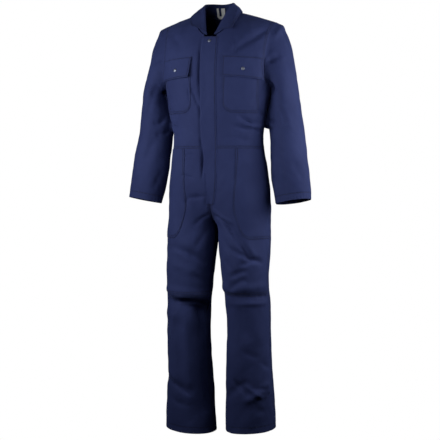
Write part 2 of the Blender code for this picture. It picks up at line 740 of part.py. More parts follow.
def add_stud(name, seat):
    """A press stud's cap: a turned profile with its back towards the cloth."""
    point, outward = seat
    profile = [(0.0, STUD_DOME)]
    for step in range(STUD_STEPS, -1, -1):
        angle = step / (STUD_STEPS + 1) * math.pi / 2
        height = STUD_RIM + (STUD_DOME - STUD_RIM) * math.sin(angle)
        profile.append((STUD_RADIUS * math.cos(angle), height))
    profile += [(STUD_RADIUS, 0.0), (0.0, 0.0)]
    mesh = bpy.data.meshes.new(name)
    edges = [(index, index + 1) for index in range(len(profile) - 1)]
    mesh.from_pydata([(x, 0, z) for x, z in profile], edges, [])
    made = add_object(name, mesh, "stud")
    turn = made.modifiers.new("turn", "SCREW")
    turn.steps = turn.render_steps = STUD_SIDES
    turn.use_merge_vertices = True
    turn.merge_threshold = 0.0001
    made.location = point
    made.rotation_mode = "QUATERNION"
    made.rotation_quaternion = outward.to_track_quat("Z", "Y")


def stud_seat(half, x, level, layer):
    """Point just above a layer of cloth, and the direction away from it."""
    place = place_of(np.array([level]))
    bearing = bearing_at(place, x)
    lift = layer_lifts(layer)[0] + STUD_CLEARANCE
    point = trunk_points(half, place, bearing, lift)[0]
    outward = form_normal(place, bearing)[0] * (half, 1, 1)
    return Vector(point.tolist()), Vector(outward.tolist())


def build_studs():
    """The three caps that show: at the neck and on each flap."""
    add_stud("stud_neck", stud_seat(LEFT, 0.0, NECK_STUD_LEVEL, 1))
    add_stud("stud_flap_right", stud_seat(RIGHT, FLAP_STUD_X, FLAP_STUD_LEVEL, 2))
    add_stud("stud_flap_left", stud_seat(LEFT, FLAP_STUD_X, FLAP_STUD_LEVEL, 2))


def stand_depth(x, height):
    """Y of the collar stand's back at a distance from the middle and a share of its height."""
    seam, fold, _ = collar_lines(COLLAR_COLUMNS)
    line = (seam + (fold - seam) * height)[: -BACK_NECK_COLUMNS - 1 : -1]
    return np.interp(abs(x), line[:, 0], line[:, 1])


def build_tape():
    """A flat tape folded into a hanging loop inside the back of the neck."""
    steps = np.linspace(0, 1, TAPE_STEPS)
    swing = math.pi * np.clip((steps - 0.38) / 0.24, 0, 1)
    x = TAPE_X - TAPE_SPREAD * np.cos(swing)
    height = TAPE_TOP - np.interp(steps, (0, 0.38, 0.62, 1), (0, 1, 1, 0)) * TAPE_DROP
    height = height - TAPE_ROUND * np.sin(swing)
    y = np.array([stand_depth(*spot) for spot in zip(x, height)]) - TAPE_CLEARANCE
    path = np.stack([x, y, height * COLLAR["fold_z"][-1]], axis=-1)
    along = unit(np.gradient(path, axis=0))
    across = unit(np.cross(along, (0.0, 1.0, 0.0)))
    width = np.interp(steps, (0, 0.4, 0.6, 1), TAPE_WIDTHS)[:, None]
    points = np.stack([path - across * width / 2, path + across * width / 2], axis=1)
    skins = np.stack([points, points - grid_normal(points, False) * TAPE])
    add_cloth("neck_tape", skins, "tape")


def clear_scene():
    """Removes every object that the file starts with."""
    for item in list(bpy.data.objects):
        bpy.data.objects.remove(item, do_unlink=True)


clear_scene()
SUIT = bpy.data.collections.new("boiler_suit")
bpy.context.scene.collection.children.link(SUIT)
build_bodice()
build_fastening()
build_legs()
build_sleeves()
build_collar()
build_chest_pockets()
build_hip_pockets()
build_studs()
build_tape()
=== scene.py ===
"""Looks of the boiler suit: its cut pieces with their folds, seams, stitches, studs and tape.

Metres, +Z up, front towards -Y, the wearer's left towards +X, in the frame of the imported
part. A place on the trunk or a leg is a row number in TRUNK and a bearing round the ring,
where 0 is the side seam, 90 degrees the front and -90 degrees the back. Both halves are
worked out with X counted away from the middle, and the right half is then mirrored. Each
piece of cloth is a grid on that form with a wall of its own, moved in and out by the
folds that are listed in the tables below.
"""

import logging
import math
from collections.abc import Callable
from dataclasses import dataclass, field
from enum import Enum

import bpy
import numpy as np
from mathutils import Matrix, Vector
from mathutils.bvhtree import BVHTree

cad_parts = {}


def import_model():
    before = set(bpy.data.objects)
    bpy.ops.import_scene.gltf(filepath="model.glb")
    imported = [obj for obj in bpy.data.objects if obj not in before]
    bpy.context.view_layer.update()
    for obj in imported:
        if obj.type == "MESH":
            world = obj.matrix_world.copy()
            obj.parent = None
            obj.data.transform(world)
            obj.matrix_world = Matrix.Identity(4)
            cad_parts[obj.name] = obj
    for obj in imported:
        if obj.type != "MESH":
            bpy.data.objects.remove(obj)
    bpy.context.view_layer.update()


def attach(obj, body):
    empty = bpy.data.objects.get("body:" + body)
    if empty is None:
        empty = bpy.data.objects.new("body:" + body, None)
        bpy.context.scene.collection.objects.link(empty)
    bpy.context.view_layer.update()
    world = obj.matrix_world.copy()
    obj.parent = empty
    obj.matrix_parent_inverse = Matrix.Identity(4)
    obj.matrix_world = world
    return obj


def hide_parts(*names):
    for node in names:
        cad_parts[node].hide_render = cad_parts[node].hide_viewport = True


log = logging.getLogger("boiler_suit")

Grid = np.ndarray
Table = dict[str, np.ndarray]


def named_columns(names: str, rows: list[tuple]) -> Table:
    """Reads a table into arrays by column name.

    Args:
        names: the column names, with spaces between them.
        rows: one tuple of numbers for each row.

    Returns:
        One array for each column.
    """
    return dict(zip(names.split(), np.array(rows, float).T))


class Half(Enum):
    """The two halves of the suit, by the sign of X."""

    RIGHT = -1
    LEFT = 1


class Sewn(Enum):
    """How an edge is sewn, as the distances of its rows of stitches from that edge."""

    PLAIN = ()
    TWIN = (0.0020, 0.0090)
    SINGLE = (0.0050,)
    CLOSE = (0.0020,)
    HEM = (0.0240,)


RIGHT, LEFT = Half.RIGHT.value, Half.LEFT.value
SIDES = ((RIGHT, "right"), (LEFT, "left"))
STITCHED = [sewn for sewn in Sewn if sewn.value]

# Sizes of the cut pieces, as in the part
CLOTH = 0.0012
LAYER_LIFT = 0.0024
COLLAR_CLOTH = 0.0016
TAPE = 0.0010
SLEEVE_GAP = 0.0002
FORK_GAP = 0.00015
WAIST = -0.507
KNEE_SEAM = -1.050
FORK = -0.795
HEM = -1.578
RIGHT_LEG_DROP = 0.014
RIDGE = 0.012
NECK_HALF_WIDTH = 0.075
FRONT_NECK_LEVEL = -0.0935
BACK_NECK_LEVEL = -0.010
SHOULDER_TIP_X = 0.215
RIDGE_SOFTNESS = 0.100

# Along a crease: the points of its line, and the size and count of the line's slight waves
CREASE_POINTS = 17
CREASE_WAVE = 0.0022
CREASE_WAVES = 7

# How near the middle line the creases of each half die out, and over how many rows of
# TRUNK they grow from the shoulder seam
MIDDLE_BLEND = 0.022
SHOULDER_ROWS = 1.5

# One ring of the trunk or a leg per row. Centre, side and inner edge are X of one half, so
# an inner edge below zero is cut off at the middle. Rise is the slope of the ring's plane
# across the suit, and power is how square the ring is (2 is an ellipse).
TRUNK = named_columns(
    "level centre side inner middle front back power rise",
    [
        (0.0120, 0.000, 0.2300, -0.2300, 0.012, 0.000, 0.000, 2.00, -0.38),
        (0.0098, 0.000, 0.2300, -0.2300, 0.012, 0.026, 0.022, 2.05, -0.38),
        (-0.0010, 0.000, 0.2300, -0.2300, 0.012, 0.047, 0.041, 2.10, -0.36),
        (-0.0320, 0.000, 0.2280, -0.2280, 0.009, 0.083, 0.070, 2.25, -0.30),
        (-0.0800, 0.000, 0.2240, -0.2240, 0.004, 0.112, 0.096, 2.40, -0.19),
        (-0.1500, 0.000, 0.2180, -0.2180, -0.002, 0.131, 0.117, 2.60, -0.09),
        (-0.2250, 0.000, 0.2110, -0.2110, -0.006, 0.139, 0.127, 2.65, -0.02),
        (-0.3000, 0.000, 0.2020, -0.2020, -0.010, 0.136, 0.124, 2.50, 0.00),
        (-0.3750, 0.000, 0.1890, -0.1890, -0.012, 0.131, 0.116, 2.40, 0.00),
        (-0.4500, 0.000, 0.1745, -0.1745, -0.014, 0.126, 0.110, 2.30, 0.00),
        (-0.5070, 0.000, 0.1770, -0.1770, -0.0145, 0.123, 0.110, 2.25, 0.00),
        (-0.5750, 0.012, 0.1865, -0.1700, -0.010, 0.128, 0.122, 2.25, 0.00),
        (-0.6450, 0.036, 0.1935, -0.1480, -0.004, 0.131, 0.132, 2.25, 0.00),
        (-0.7150, 0.070, 0.1955, -0.0900, 0.000, 0.130, 0.132, 2.25, 0.00),
        (-0.7600, 0.090, 0.1955, -0.0350, 0.003, 0.127, 0.124, 2.25, 0.00),
        (-0.7950, 0.100, 0.1970, 0.0000, -0.001, 0.122, 0.116, 2.25, 0.00),
        (-0.8500, 0.104, 0.1990, 0.0080, -0.011, 0.115, 0.107, 2.25, 0.00),
        (-0.9140, 0.107, 0.1990, 0.0140, -0.022, 0.105, 0.105, 2.20, 0.00),
        (-0.9900, 0.110, 0.1975, 0.0230, -0.028, 0.096, 0.101, 2.15, 0.00),
        (-1.0750, 0.116, 0.2005, 0.0325, -0.023, 0.090, 0.094, 2.10, 0.00),
        (-1.1600, 0.119, 0.2040, 0.0370, -0.017, 0.086, 0.091, 2.10, 0.01),
        (-1.2350, 0.119, 0.2050, 0.0355, -0.014, 0.085, 0.090, 2.10, 0.02),
        (-1.3100, 0.118, 0.2060, 0.0330, -0.008, 0.087, 0.090, 2.10, 0.03),
        (-1.3900, 0.118, 0.2100, 0.0285, -0.002, 0.089, 0.092, 2.10, 0.05),
        (-1.4700, 0.120, 0.2150, 0.0285, 0.005, 0.091, 0.093, 2.10, 0.07),
        (-1.5780, 0.120, 0.2170, 0.0240, 0.0140, 0.094, 0.094, 2.10, 0.09),
    ],
)

# The armhole from the shoulder tip down to the underarm, as X of its front and back edge.
ARMHOLE = named_columns(
    "level front_x back_x",
    [
        (0.012, 0.2150, 0.2150),
        (-0.034, 0.2070, 0.2060),
        (-0.105, 0.2000, 0.1985),
        (-0.175, 0.1975, 0.1965),
        (-0.235, 0.1985, 0.1985),
        (-0.268, 0.2030, 0.2030),
        (-0.277, 0.2062, 0.2062),
    ],
)

# Sleeve rings from just below the underarm to the cuff. The rises tilt each ring's plane.
SLEEVE = named_columns(
    "level x y half_width half_depth outer_rise front_rise",
    [
        (-0.300, 0.2580, 0.008, 0.0490, 0.086, 0.04, 0.00),
        (-0.360, 0.2570, 0.008, 0.0590, 0.080, 0.06, 0.02),
        (-0.410, 0.2590, 0.008, 0.0650, 0.075, 0.08, 0.05),
        (-0.460, 0.2650, 0.006, 0.0655, 0.071, 0.11, 0.09),
        (-0.530, 0.2730, -0.005, 0.0690, 0.066, 0.13, 0.13),
        (-0.600, 0.2815, -0.017, 0.0705, 0.060, 0.14, 0.15),
        (-0.660, 0.2905, -0.026, 0.0693, 0.054, 0.15, 0.15),
        (-0.704, 0.2965, -0.032, 0.0660, 0.049, 0.16, 0.15),
    ],
)

# How strongly the sleeve leaves the armhole, and how far it turns into the valley there, in
# radians. Its rows go evenly round from the shoulder tip over the front.
SLEEVE_HEAD = named_columns(
    "reach valley",
    [
        (0.210, 0.00),
        (0.120, 0.10),
        (0.060, 0.45),
        (0.035, 0.90),
        (0.022, 0.60),
        (0.020, 0.00),
        (0.022, 0.45),
        (0.035, 0.70),
        (0.070, 0.30),
        (0.130, 0.05),
    ],
)

# Each half's collar from its front end to the middle of the back: the fold line at the top
# of the stand, then the lower edge of the fall.
COLLAR = {
    RIGHT: named_columns(
        "fold_x fold_y fold_z edge_x edge_y edge_z",
        [
            (0.0170, -0.1050, -0.0745, 0.0830, -0.0960, -0.0450),
            (0.0310, -0.0700, -0.0280, 0.0950, -0.0740, -0.0270),
            (0.0425, -0.0420, 0.0140, 0.1010, -0.0420, -0.0045),
            (0.0485, -0.0150, 0.0400, 0.0930, -0.0030, 0.0105),
            (0.0380, 0.0250, 0.0490, 0.0750, 0.0490, 0.0080),
            (0.0000, 0.0450, 0.0490, 0.0000, 0.0830, -0.0030),
        ],
    ),
    LEFT: named_columns(
        "fold_x fold_y fold_z edge_x edge_y edge_z",
        [
            (0.0155, -0.1045, -0.0730, 0.0810, -0.1090, -0.0630),
            (0.0310, -0.0720, -0.0230, 0.0840, -0.0830, -0.0400),
            (0.0440, -0.0430, 0.0180, 0.0905, -0.0440, -0.0080),
            (0.0485, -0.0150, 0.0420, 0.0885, -0.0040, 0.0110),
            (0.0380, 0.0250, 0.0490, 0.0750, 0.0490, 0.0080),
            (0.0000, 0.0450, 0.0490, 0.0000, 0.0830, -0.0030),
        ],
    ),
}

# The largest folds, which the part has too: where each runs, its half-width and its height,
# negative for a trough.
FOLDS = named_columns(
    "half from_bearing from_level to_bearing to_level width height",
    [
        (RIGHT, 44, -1.036, 165, -1.060, 0.020, 0.009),
        (RIGHT, 40, -1.075, 170, -1.115, 0.017, -0.012),
        (RIGHT, 10, -1.134, 70, -1.130, 0.020, 0.004),
        (LEFT, 20, -1.020, 150, -1.030, 0.018, 0.006),
        (LEFT, 20, -1.060, 160, -1.055, 0.012, -0.004),
        (LEFT, 30, -1.400, 80, -1.450, 0.016, 0.008),
        (LEFT, 85, -1.385, 140, -1.440, 0.016, -0.007),
        (RIGHT, 20, -1.380, 110, -1.410, 0.016, -0.005),
    ],
)
FOLD_GIRTH = 0.095

# Creases of the trunk and legs, each a soft trough or ridge: where it runs, how far it bows
# down from a straight line, its half-width, its height, and how far its steep flank leans
# (positive leans it down the suit).
CREASES = named_columns(
    "half from_bearing from_level to_bearing to_level bow width height lean",
    [
        # shoulders and chest
        (LEFT, 32, -0.030, 74, -0.156, 0.010, 0.013, -0.0080, 0.2),
        (LEFT, 50, -0.040, 82, -0.170, 0.006, 0.018, 0.0030, 0.0),
        (RIGHT, 36, -0.040, 66, -0.130, -0.006, 0.016, -0.0032, 0.0),
        (RIGHT, 75, -0.272, 85, -0.384, 0.000, 0.007, -0.0052, 0.2),
        (RIGHT, 75, -0.262, 74, -0.330, 0.000, 0.005, 0.0024, 0.0),
        (RIGHT, 73, -0.278, 72, -0.340, 0.000, 0.006, -0.0026, 0.0),
        (RIGHT, 84, -0.300, 79, -0.400, 0.000, 0.010, 0.0025, 0.0),
        (LEFT, 14, -0.235, 42, -0.345, 0.012, 0.014, -0.0040, 0.1),
        (LEFT, 0, -0.110, 0, -0.270, 0.000, 0.020, -0.0160, 0.0),
        (RIGHT, 0, -0.130, 0, -0.270, 0.000, 0.018, -0.0140, 0.0),
        (RIGHT, 12, -0.240, 46, -0.330, 0.012, 0.014, -0.0045, 0.1),
        (RIGHT, 16, -0.300, 50, -0.395, 0.010, 0.013, -0.0040, 0.1),
        # beside the free edge of the fastening
        (RIGHT, 85.2, -0.090, 84.6, -0.330, 0.000, 0.0045, -0.0066, -0.3),
        (RIGHT, 84.8, -0.190, 83.4, -0.400, 0.000, 0.0045, -0.0056, -0.3),
        (RIGHT, 83.6, -0.360, 82.0, -0.512, 0.000, 0.0050, -0.0030, -0.3),
        (RIGHT, 82.0, -0.470, 90.4, -0.626, 0.000, 0.0055, -0.0095, -0.3),
        (RIGHT, 89.0, -0.580, 109.0, -0.722, 0.000, 0.0055, -0.0080, -0.3),
        # above the waist
        (LEFT, 60, -0.386, 14, -0.408, 0.014, 0.008, -0.0085, 0.3),
        (LEFT, 62, -0.400, 10, -0.424, 0.010, 0.008, 0.0052, 0.0),
        (LEFT, 66, -0.418, 4, -0.438, 0.012, 0.008, -0.0080, 0.3),
        (LEFT, 30, -0.362, 6, -0.380, 0.006, 0.010, -0.0045, 0.2),
        (LEFT, 72, -0.462, 30, -0.476, 0.004, 0.012, -0.0028, 0.0),
        (RIGHT, 8, -0.398, 56, -0.428, 0.010, 0.011, -0.0045, 0.2),
        (RIGHT, 4, -0.440, 48, -0.462, 0.008, 0.010, -0.0040, 0.2),
        (RIGHT, 58, -0.420, 86, -0.470, 0.000, 0.012, -0.0022, 0.0),
        # hips
        (RIGHT, 58, -0.529, 73, -0.531, 0.001, 0.005, -0.0042, 0.0),
        (RIGHT, 60, -0.546, 72, -0.547, 0.001, 0.005, -0.0032, 0.0),
        (RIGHT, 59, -0.607, 80, -0.610, 0.002, 0.005, -0.0040, 0.0),
        (RIGHT, 76, -0.706, 104, -0.682, -0.004, 0.009, -0.0062, 0.4),
        (RIGHT, 74, -0.680, 88, -0.730, 0.004, 0.009, -0.0036, 0.0),
        (RIGHT, 94, -0.560, 100, -0.640, 0.000, 0.009, -0.0025, 0.0),
        (LEFT, 44, -0.560, 66, -0.640, 0.000, 0.016, -0.0020, 0.0),
        (LEFT, 20, -0.540, 36, -0.660, 0.000, 0.018, -0.0022, 0.0),
        (RIGHT, 18, -0.560, 34, -0.690, 0.000, 0.018, -0.0024, 0.0),
        # crotch fan
        (LEFT, 128, -0.748, 84, -0.860, -0.006, 0.010, -0.0120, 0.3),
        (LEFT, 96, -0.822, 50, -0.936, 0.004, 0.011, -0.0120, 0.3),
        (LEFT, 118, -0.728, 92, -0.790, 0.004, 0.009, 0.0060, 0.0),
        (LEFT, 80, -0.836, 46, -0.910, 0.004, 0.012, 0.0030, 0.0),
        (LEFT, 108, -0.868, 56, -0.920, 0.006, 0.010, -0.0100, 0.2),
        (LEFT, 86, -0.940, 22, -0.930, -0.010, 0.011, -0.0105, 0.3),
        (LEFT, 108, -0.698, 136, -0.730, 0.004, 0.007, -0.0060, 0.2),
        (LEFT, 128, -0.820, 104, -0.900, 0.002, 0.010, -0.0050, 0.0),
        (LEFT, 122, -0.905, 100, -0.975, 0.002, 0.011, -0.0045, 0.0),
        (LEFT, 112, -0.992, 68, -0.966, -0.010, 0.012, -0.0100, 0.2),
        (LEFT, 76, -0.860, 40, -0.960, 0.000, 0.018, 0.0040, 0.0),
        (RIGHT, 128, -0.742, 108, -0.800, 0.000, 0.009, -0.0055, 0.2),
        (RIGHT, 142, -0.800, 112, -0.880, 0.006, 0.012, -0.0050, 0.0),
        (RIGHT, 60, -0.872, 152, -0.944, -0.004, 0.015, -0.0115, 0.4),
        (RIGHT, 20, -0.862, 74, -0.884, 0.004, 0.014, -0.0034, 0.2),
        (RIGHT, 110, -0.970, 154, -1.010, 0.002, 0.012, -0.0045, 0.0),
        (RIGHT, 60, -0.930, 120, -0.972, 0.000, 0.020, 0.0040, 0.0),
        # right knee and shin
        (RIGHT, 60, -1.080, 186, -1.104, -0.008, 0.011, -0.0090, 0.45),
        (RIGHT, 84, -1.096, 190, -1.140, 0.000, 0.030, -0.0150, 0.0),
        (RIGHT, 40, -1.062, 120, -1.064, -0.004, 0.011, 0.0050, 0.0),
        (RIGHT, 66, -1.122, 56, -1.228, 0.006, 0.012, 0.0050, 0.0),
        (RIGHT, 96, -1.100, 106, -1.470, 0.000, 0.020, 0.0080, 0.0),
        (RIGHT, 66, -1.120, 70, -1.400, 0.000, 0.018, 0.0040, 0.0),
        (RIGHT, 150, -1.080, 158, -1.500, 0.000, 0.046, -0.0200, 0.0),
        (RIGHT, 14, -1.096, 46, -1.094, 0.002, 0.009, -0.0045, 0.2),
        (RIGHT, 60, -1.392, 116, -1.434, 0.002, 0.010, -0.0055, 0.3),
        (RIGHT, 50, -1.448, 104, -1.470, 0.004, 0.014, -0.0035, 0.1),
        (RIGHT, 36, -1.340, 70, -1.378, 0.000, 0.014, 0.0028, 0.0),
        # left knee and shin
        (LEFT, 118, -1.036, 70, -0.994, -0.006, 0.013, -0.0100, 0.3),
        (LEFT, 48, -1.052, 8, -1.058, 0.004, 0.009, -0.0030, 0.3),
        (LEFT, 132, -1.082, 4, -1.080, 0.004, 0.009, 0.0038, 0.0),
        (LEFT, 96, -1.098, 84, -1.230, -0.008, 0.018, -0.0045, 0.0),
        (LEFT, 60, -1.110, 48, -1.250, 0.004, 0.020, 0.0032, 0.0),
        (LEFT, 96, -1.256, 44, -1.290, 0.004, 0.014, -0.0030, 0.1),
        (LEFT, 44, -1.300, 10, -1.340, 0.004, 0.012, -0.0034, 0.2),
        (LEFT, 114, -1.370, 72, -1.438, 0.004, 0.011, -0.0100, 0.3),
        (LEFT, 82, -1.388, 40, -1.444, 0.010, 0.009, 0.0060, 0.0),
        (LEFT, 40, -1.444, 14, -1.402, 0.004, 0.009, 0.0045, 0.0),
        (LEFT, 62, -1.408, 26, -1.398, 0.006, 0.010, -0.0045, 0.0),
        (LEFT, 70, -1.480, 20, -1.500, 0.004, 0.016, -0.0028, 0.0),
        # the back, with the same kinds of fold where they don't show
        (LEFT, -30, -0.040, -66, -0.180, 0.010, 0.018, -0.0040, 0.0),
        (RIGHT, -34, -0.050, -70, -0.170, 0.008, 0.018, -0.0036, 0.0),
        (LEFT, -14, -0.250, -58, -0.360, 0.016, 0.014, -0.0045, 0.1),
        (RIGHT, -12, -0.262, -52, -0.340, 0.014, 0.015, -0.0042, 0.1),
        (LEFT, -8, -0.402, -64, -0.424, 0.016, 0.011, -0.0055, 0.3),
        (LEFT, -10, -0.446, -78, -0.458, 0.010, 0.010, -0.0045, 0.2),
        (RIGHT, -6, -0.388, -56, -0.418, 0.014, 0.012, -0.0052, 0.3),
        (RIGHT, -14, -0.432, -82, -0.470, 0.012, 0.010, -0.0048, 0.2),
        (LEFT, -108, -0.700, -60, -0.772, 0.010, 0.016, -0.0050, 0.2),
        (RIGHT, -112, -0.690, -58, -0.756, 0.010, 0.016, -0.0048, 0.2),
        (LEFT, -134, -0.822, -80, -0.892, 0.008, 0.013, -0.0068, 0.3),
        (RIGHT, -136, -0.818, -88, -0.876, 0.008, 0.014, -0.0064, 0.3),
        (LEFT, -126, -0.884, -60, -0.956, 0.006, 0.015, -0.0046, 0.1),
        (RIGHT, -130, -0.872, -48, -0.968, 0.006, 0.015, -0.0050, 0.1),
        (LEFT, -150, -1.010, -40, -1.046, 0.010, 0.014, -0.0080, 0.3),
        (LEFT, -140, -1.062, -30, -1.082, 0.012, 0.013, -0.0075, 0.3),
        (LEFT, -120, -1.120, -50, -1.134, 0.010, 0.014, -0.0048, 0.2),
        (RIGHT, -146, -1.024, -36, -1.038, 0.012, 0.014, -0.0078, 0.3),
        (RIGHT, -150, -1.080, -44, -1.090, 0.010, 0.012, -0.0072, 0.3),
        (RIGHT, -110, -1.136, -30, -1.150, 0.010, 0.015, -0.0045, 0.2),
        (LEFT, -130, -1.382, -60, -1.436, 0.008, 0.013, -0.0060, 0.2),
        (LEFT, -80, -1.446, -24, -1.470, 0.008, 0.013, -0.0046, 0.2),
        (RIGHT, -120, -1.398, -50, -1.424, 0.008, 0.013, -0.0058, 0.2),
        (RIGHT, -140, -1.450, -76, -1.492, 0.008, 0.014, -0.0042, 0.2),
    ],
)

# Creases of the sleeves in the same way, but placed by the turn from the outer side over the
# front, in degrees, and by the share of the length down from the armhole.
SLEEVE_CREASES = named_columns(
    "half from_turn from_down to_turn to_down bow width height lean",
    [
        (LEFT, 318, 0.045, 402, 0.045, 0.000, 0.017, 0.0075, 0.0),
        (RIGHT, 318, 0.045, 402, 0.045, 0.000, 0.017, 0.0070, 0.0),
        (LEFT, 126, -0.010, 150, 0.230, 0.000, 0.022, -0.0300, 0.0),
        (RIGHT, 150, 0.000, 176, 0.220, 0.000, 0.018, -0.0260, 0.0),
        (LEFT, 92, 0.060, 44, 0.135, 0.008, 0.012, -0.0085, 0.2),
        (LEFT, 66, 0.060, 40, 0.160, 0.000, 0.014, 0.0035, 0.0),
        (LEFT, 122, 0.200, 92, 0.340, 0.006, 0.016, -0.0050, 0.0),
        (LEFT, 100, 0.330, 74, 0.520, -0.008, 0.012, -0.0056, 0.2),
        (LEFT, 84, 0.360, 60, 0.560, -0.006, 0.013, 0.0036, 0.0),
        (LEFT, 168, 0.440, 110, 0.480, 0.006, 0.010, -0.0062, 0.3),
        (LEFT, 176, 0.500, 120, 0.540, 0.004, 0.010, -0.0054, 0.3),
        (LEFT, 150, 0.600, 96, 0.700, 0.004, 0.014, -0.0034, 0.0),
        (LEFT, 70, 0.720, 40, 0.860, 0.000, 0.016, -0.0028, 0.0),
        (LEFT, 160, 0.780, 120, 0.880, 0.002, 0.014, -0.0034, 0.0),
        (RIGHT, 80, 0.050, 44, 0.150, 0.006, 0.014, -0.0042, 0.2),
        (RIGHT, 118, 0.160, 96, 0.330, 0.004, 0.016, -0.0046, 0.0),
        (RIGHT, 98, 0.300, 66, 0.480, -0.006, 0.014, -0.0044, 0.1),
        (RIGHT, 150, 0.420, 100, 0.500, 0.008, 0.013, -0.0056, 0.3),
        (RIGHT, 166, 0.520, 112, 0.590, 0.006, 0.012, -0.0050, 0.3),
        (RIGHT, 108, 0.600, 82, 0.760, 0.004, 0.016, -0.0038, 0.0),
        (RIGHT, 90, 0.700, 60, 0.860, 0.000, 0.018, 0.0026, 0.0),
        (RIGHT, 148, 0.760, 126, 0.900, 0.000, 0.014, -0.0036, 0.0),
        (LEFT, 268, 0.080, 300, 0.190, 0.006, 0.015, -0.0045, 0.0),
        (LEFT, 214, 0.400, 276, 0.460, 0.008, 0.012, -0.0058, 0.3),
        (LEFT, 206, 0.500, 262, 0.550, 0.008, 0.012, -0.0050, 0.3),
        (LEFT, 250, 0.640, 284, 0.820, 0.000, 0.016, -0.0036, 0.0),
        (RIGHT, 270, 0.090, 304, 0.180, 0.006, 0.015, -0.0042, 0.0),
        (RIGHT, 210, 0.420, 270, 0.500, 0.008, 0.012, -0.0060, 0.3),
        (RIGHT, 204, 0.540, 256, 0.590, 0.008, 0.013, -0.0046, 0.3),
        (RIGHT, 240, 0.660, 290, 0.800, 0.000, 0.016, -0.0034, 0.0),
    ],
)


def unit(vectors: Grid) -> Grid:
    """Scales vectors to length one.

    Args:
        vectors: any array of vectors.

    Returns:
        Vectors in the same directions, one metre long.
    """
    return vectors / np.maximum(np.linalg.norm(vectors, axis=-1, keepdims=True), 1e-9)


def smooth(values: Grid, place: Grid) -> Grid:
    """Reads a table's column between its rows, as a smooth curve through them.

    Args:
        values: the column.
        place: fractional row numbers.

    Returns:
        The column's value at each of them.
    """
    values = np.asarray(values, float)
    place = np.clip(np.asarray(place, float), 0, len(values) - 1)
    low = np.minimum(place.astype(int), len(values) - 2)
    slope = np.gradient(values)
    return hermite(values[low], slope[low], values[low + 1], slope[low + 1], place - low)


def read_rows(table: Table, place: Grid) -> Table:
    """Reads every column of a table between its rows.

    Args:
        table: the table.
        place: fractional row numbers.

    Returns:
        The values of each column there.
    """
    return {name: smooth(values, place) for name, values in table.items()}


def hermite(start: Grid, leave: Grid, end: Grid, arrive: Grid, part: Grid) -> Grid:
    """Draws a cubic between two points.

    Args:
        start: where it begins.
        leave: its slope there.
        end: where it ends.
        arrive: its slope there.
        part: how far along it to read, from 0 to 1.

    Returns:
        Its value there.
    """
    square, cube = part**2, part**3
    return (
        (2 * cube - 3 * square + 1) * start
        + (cube - 2 * square + part) * leave
        + (3 * square - 2 * cube) * end
        + (cube - square) * arrive
    )


def run_lengths(points: Grid) -> Grid:
    """Measures along a line of points.

    Args:
        points: the line.

    Returns:
        Distance from its start to each point.
    """
    steps = np.linalg.norm(np.diff(points, axis=0), axis=-1)
    return np.concatenate([np.zeros((1, *steps.shape[1:])), np.cumsum(steps, axis=0)])


def read_line(points: Grid, run: Grid, where: Grid) -> Grid:
    """Reads a line of points at distances along it.

    Args:
        points: the line.
        run: the distance to each of its points.
        where: the distances to read.

    Returns:
        The line there.
    """
    return np.stack([np.interp(where, run, points[:, axis]) for axis in range(3)], axis=-1)


def grid_normal(points: Grid, closed: bool) -> Grid:
    """Finds the outward direction of a grid whose columns run right and rows run down.

    Args:
        points: the grid.
        closed: whether its last column joins its first.

    Returns:
        A direction for each point.
    """
    if closed:
        across = np.roll(points, -1, axis=1) - np.roll(points, 1, axis=1)
    else:
        across = np.gradient(points, axis=1)
    return unit(np.cross(np.gradient(points, axis=0), across))


class TrunkForm:
    """The smooth form of one half of the trunk and its leg, before any small fold."""

    SEARCH_STEPS = 2400
    NORMAL_STEP = 0.02

    def __init__(self) -> None:
        """Prepares the search from a level to a row number."""
        self.places = np.linspace(0, len(TRUNK["level"]) - 1, self.SEARCH_STEPS)
        self.levels = smooth(TRUNK["level"], self.places)

    def place_of(self, level: Grid) -> Grid:
        """Finds where a level is in TRUNK.

        Args:
            level: heights below the origin, as negative numbers.

        Returns:
            Fractional row numbers.
        """
        return np.interp(-np.asarray(level, float), -self.levels, self.places)

    def bearing_at(self, place: Grid, x: Grid) -> Grid:
        """Finds the bearing where the front of a ring passes a distance from the middle.

        Args:
            place: row numbers.
            x: distances from the middle.

        Returns:
            Bearings in radians.
        """
        ring = read_rows(TRUNK, place)
        offset = x - ring["centre"]
        outside, inside = ring["side"] - ring["centre"], ring["centre"] - ring["inner"]
        share = np.clip(np.abs(offset) / np.where(offset > 0, outside, inside), 0, 1)
        return np.arccos(np.sign(offset) * share ** (ring["power"] / 2))

    def points(self, place: Grid, bearing: Grid) -> Grid:
        """Places points on the plain form.

        Args:
            place: row numbers.
            bearing: bearings in radians.

        Returns:
            The points, with X counted away from the middle.
        """
        ring = read_rows(TRUNK, place)
        cosine, sine = np.cos(bearing), np.sin(bearing)
        across = np.abs(cosine) ** (2 / ring["power"])
        along = np.abs(sine) ** (2 / ring["power"])
        outward = ring["centre"] + (ring["side"] - ring["centre"]) * across
        inward = ring["centre"] - (ring["centre"] - ring["inner"]) * across
        x = np.where(cosine > 0, outward, inward)
        y = ring["middle"] + np.where(sine > 0, -ring["front"], ring["back"]) * along
        pivot = np.where(ring["level"] > WAIST, NECK_HALF_WIDTH, ring["centre"])
        tilt = np.hypot(x, RIDGE_SOFTNESS) - np.hypot(pivot, RIDGE_SOFTNESS)
        return np.stack([x, y, ring["level"] + ring["rise"] * tilt], axis=-1)

    def normals(self, place: Grid, bearing: Grid) -> Grid:
        """Finds the outward direction of the plain form, which runs on over the shoulder.

        Args:
            place: row numbers.
            bearing: bearings in radians.

        Returns:
            A direction for each point.
        """
        step = self.NORMAL_STEP
        over_ridge = np.where(place < step, -1, 1)
        before = self.points(np.abs(place - step), bearing * over_ridge)
        down = self.points(place + step, bearing) - before
        around = self.points(place, bearing + step) - self.points(place, bearing - step)
        return unit(np.cross(around, down))


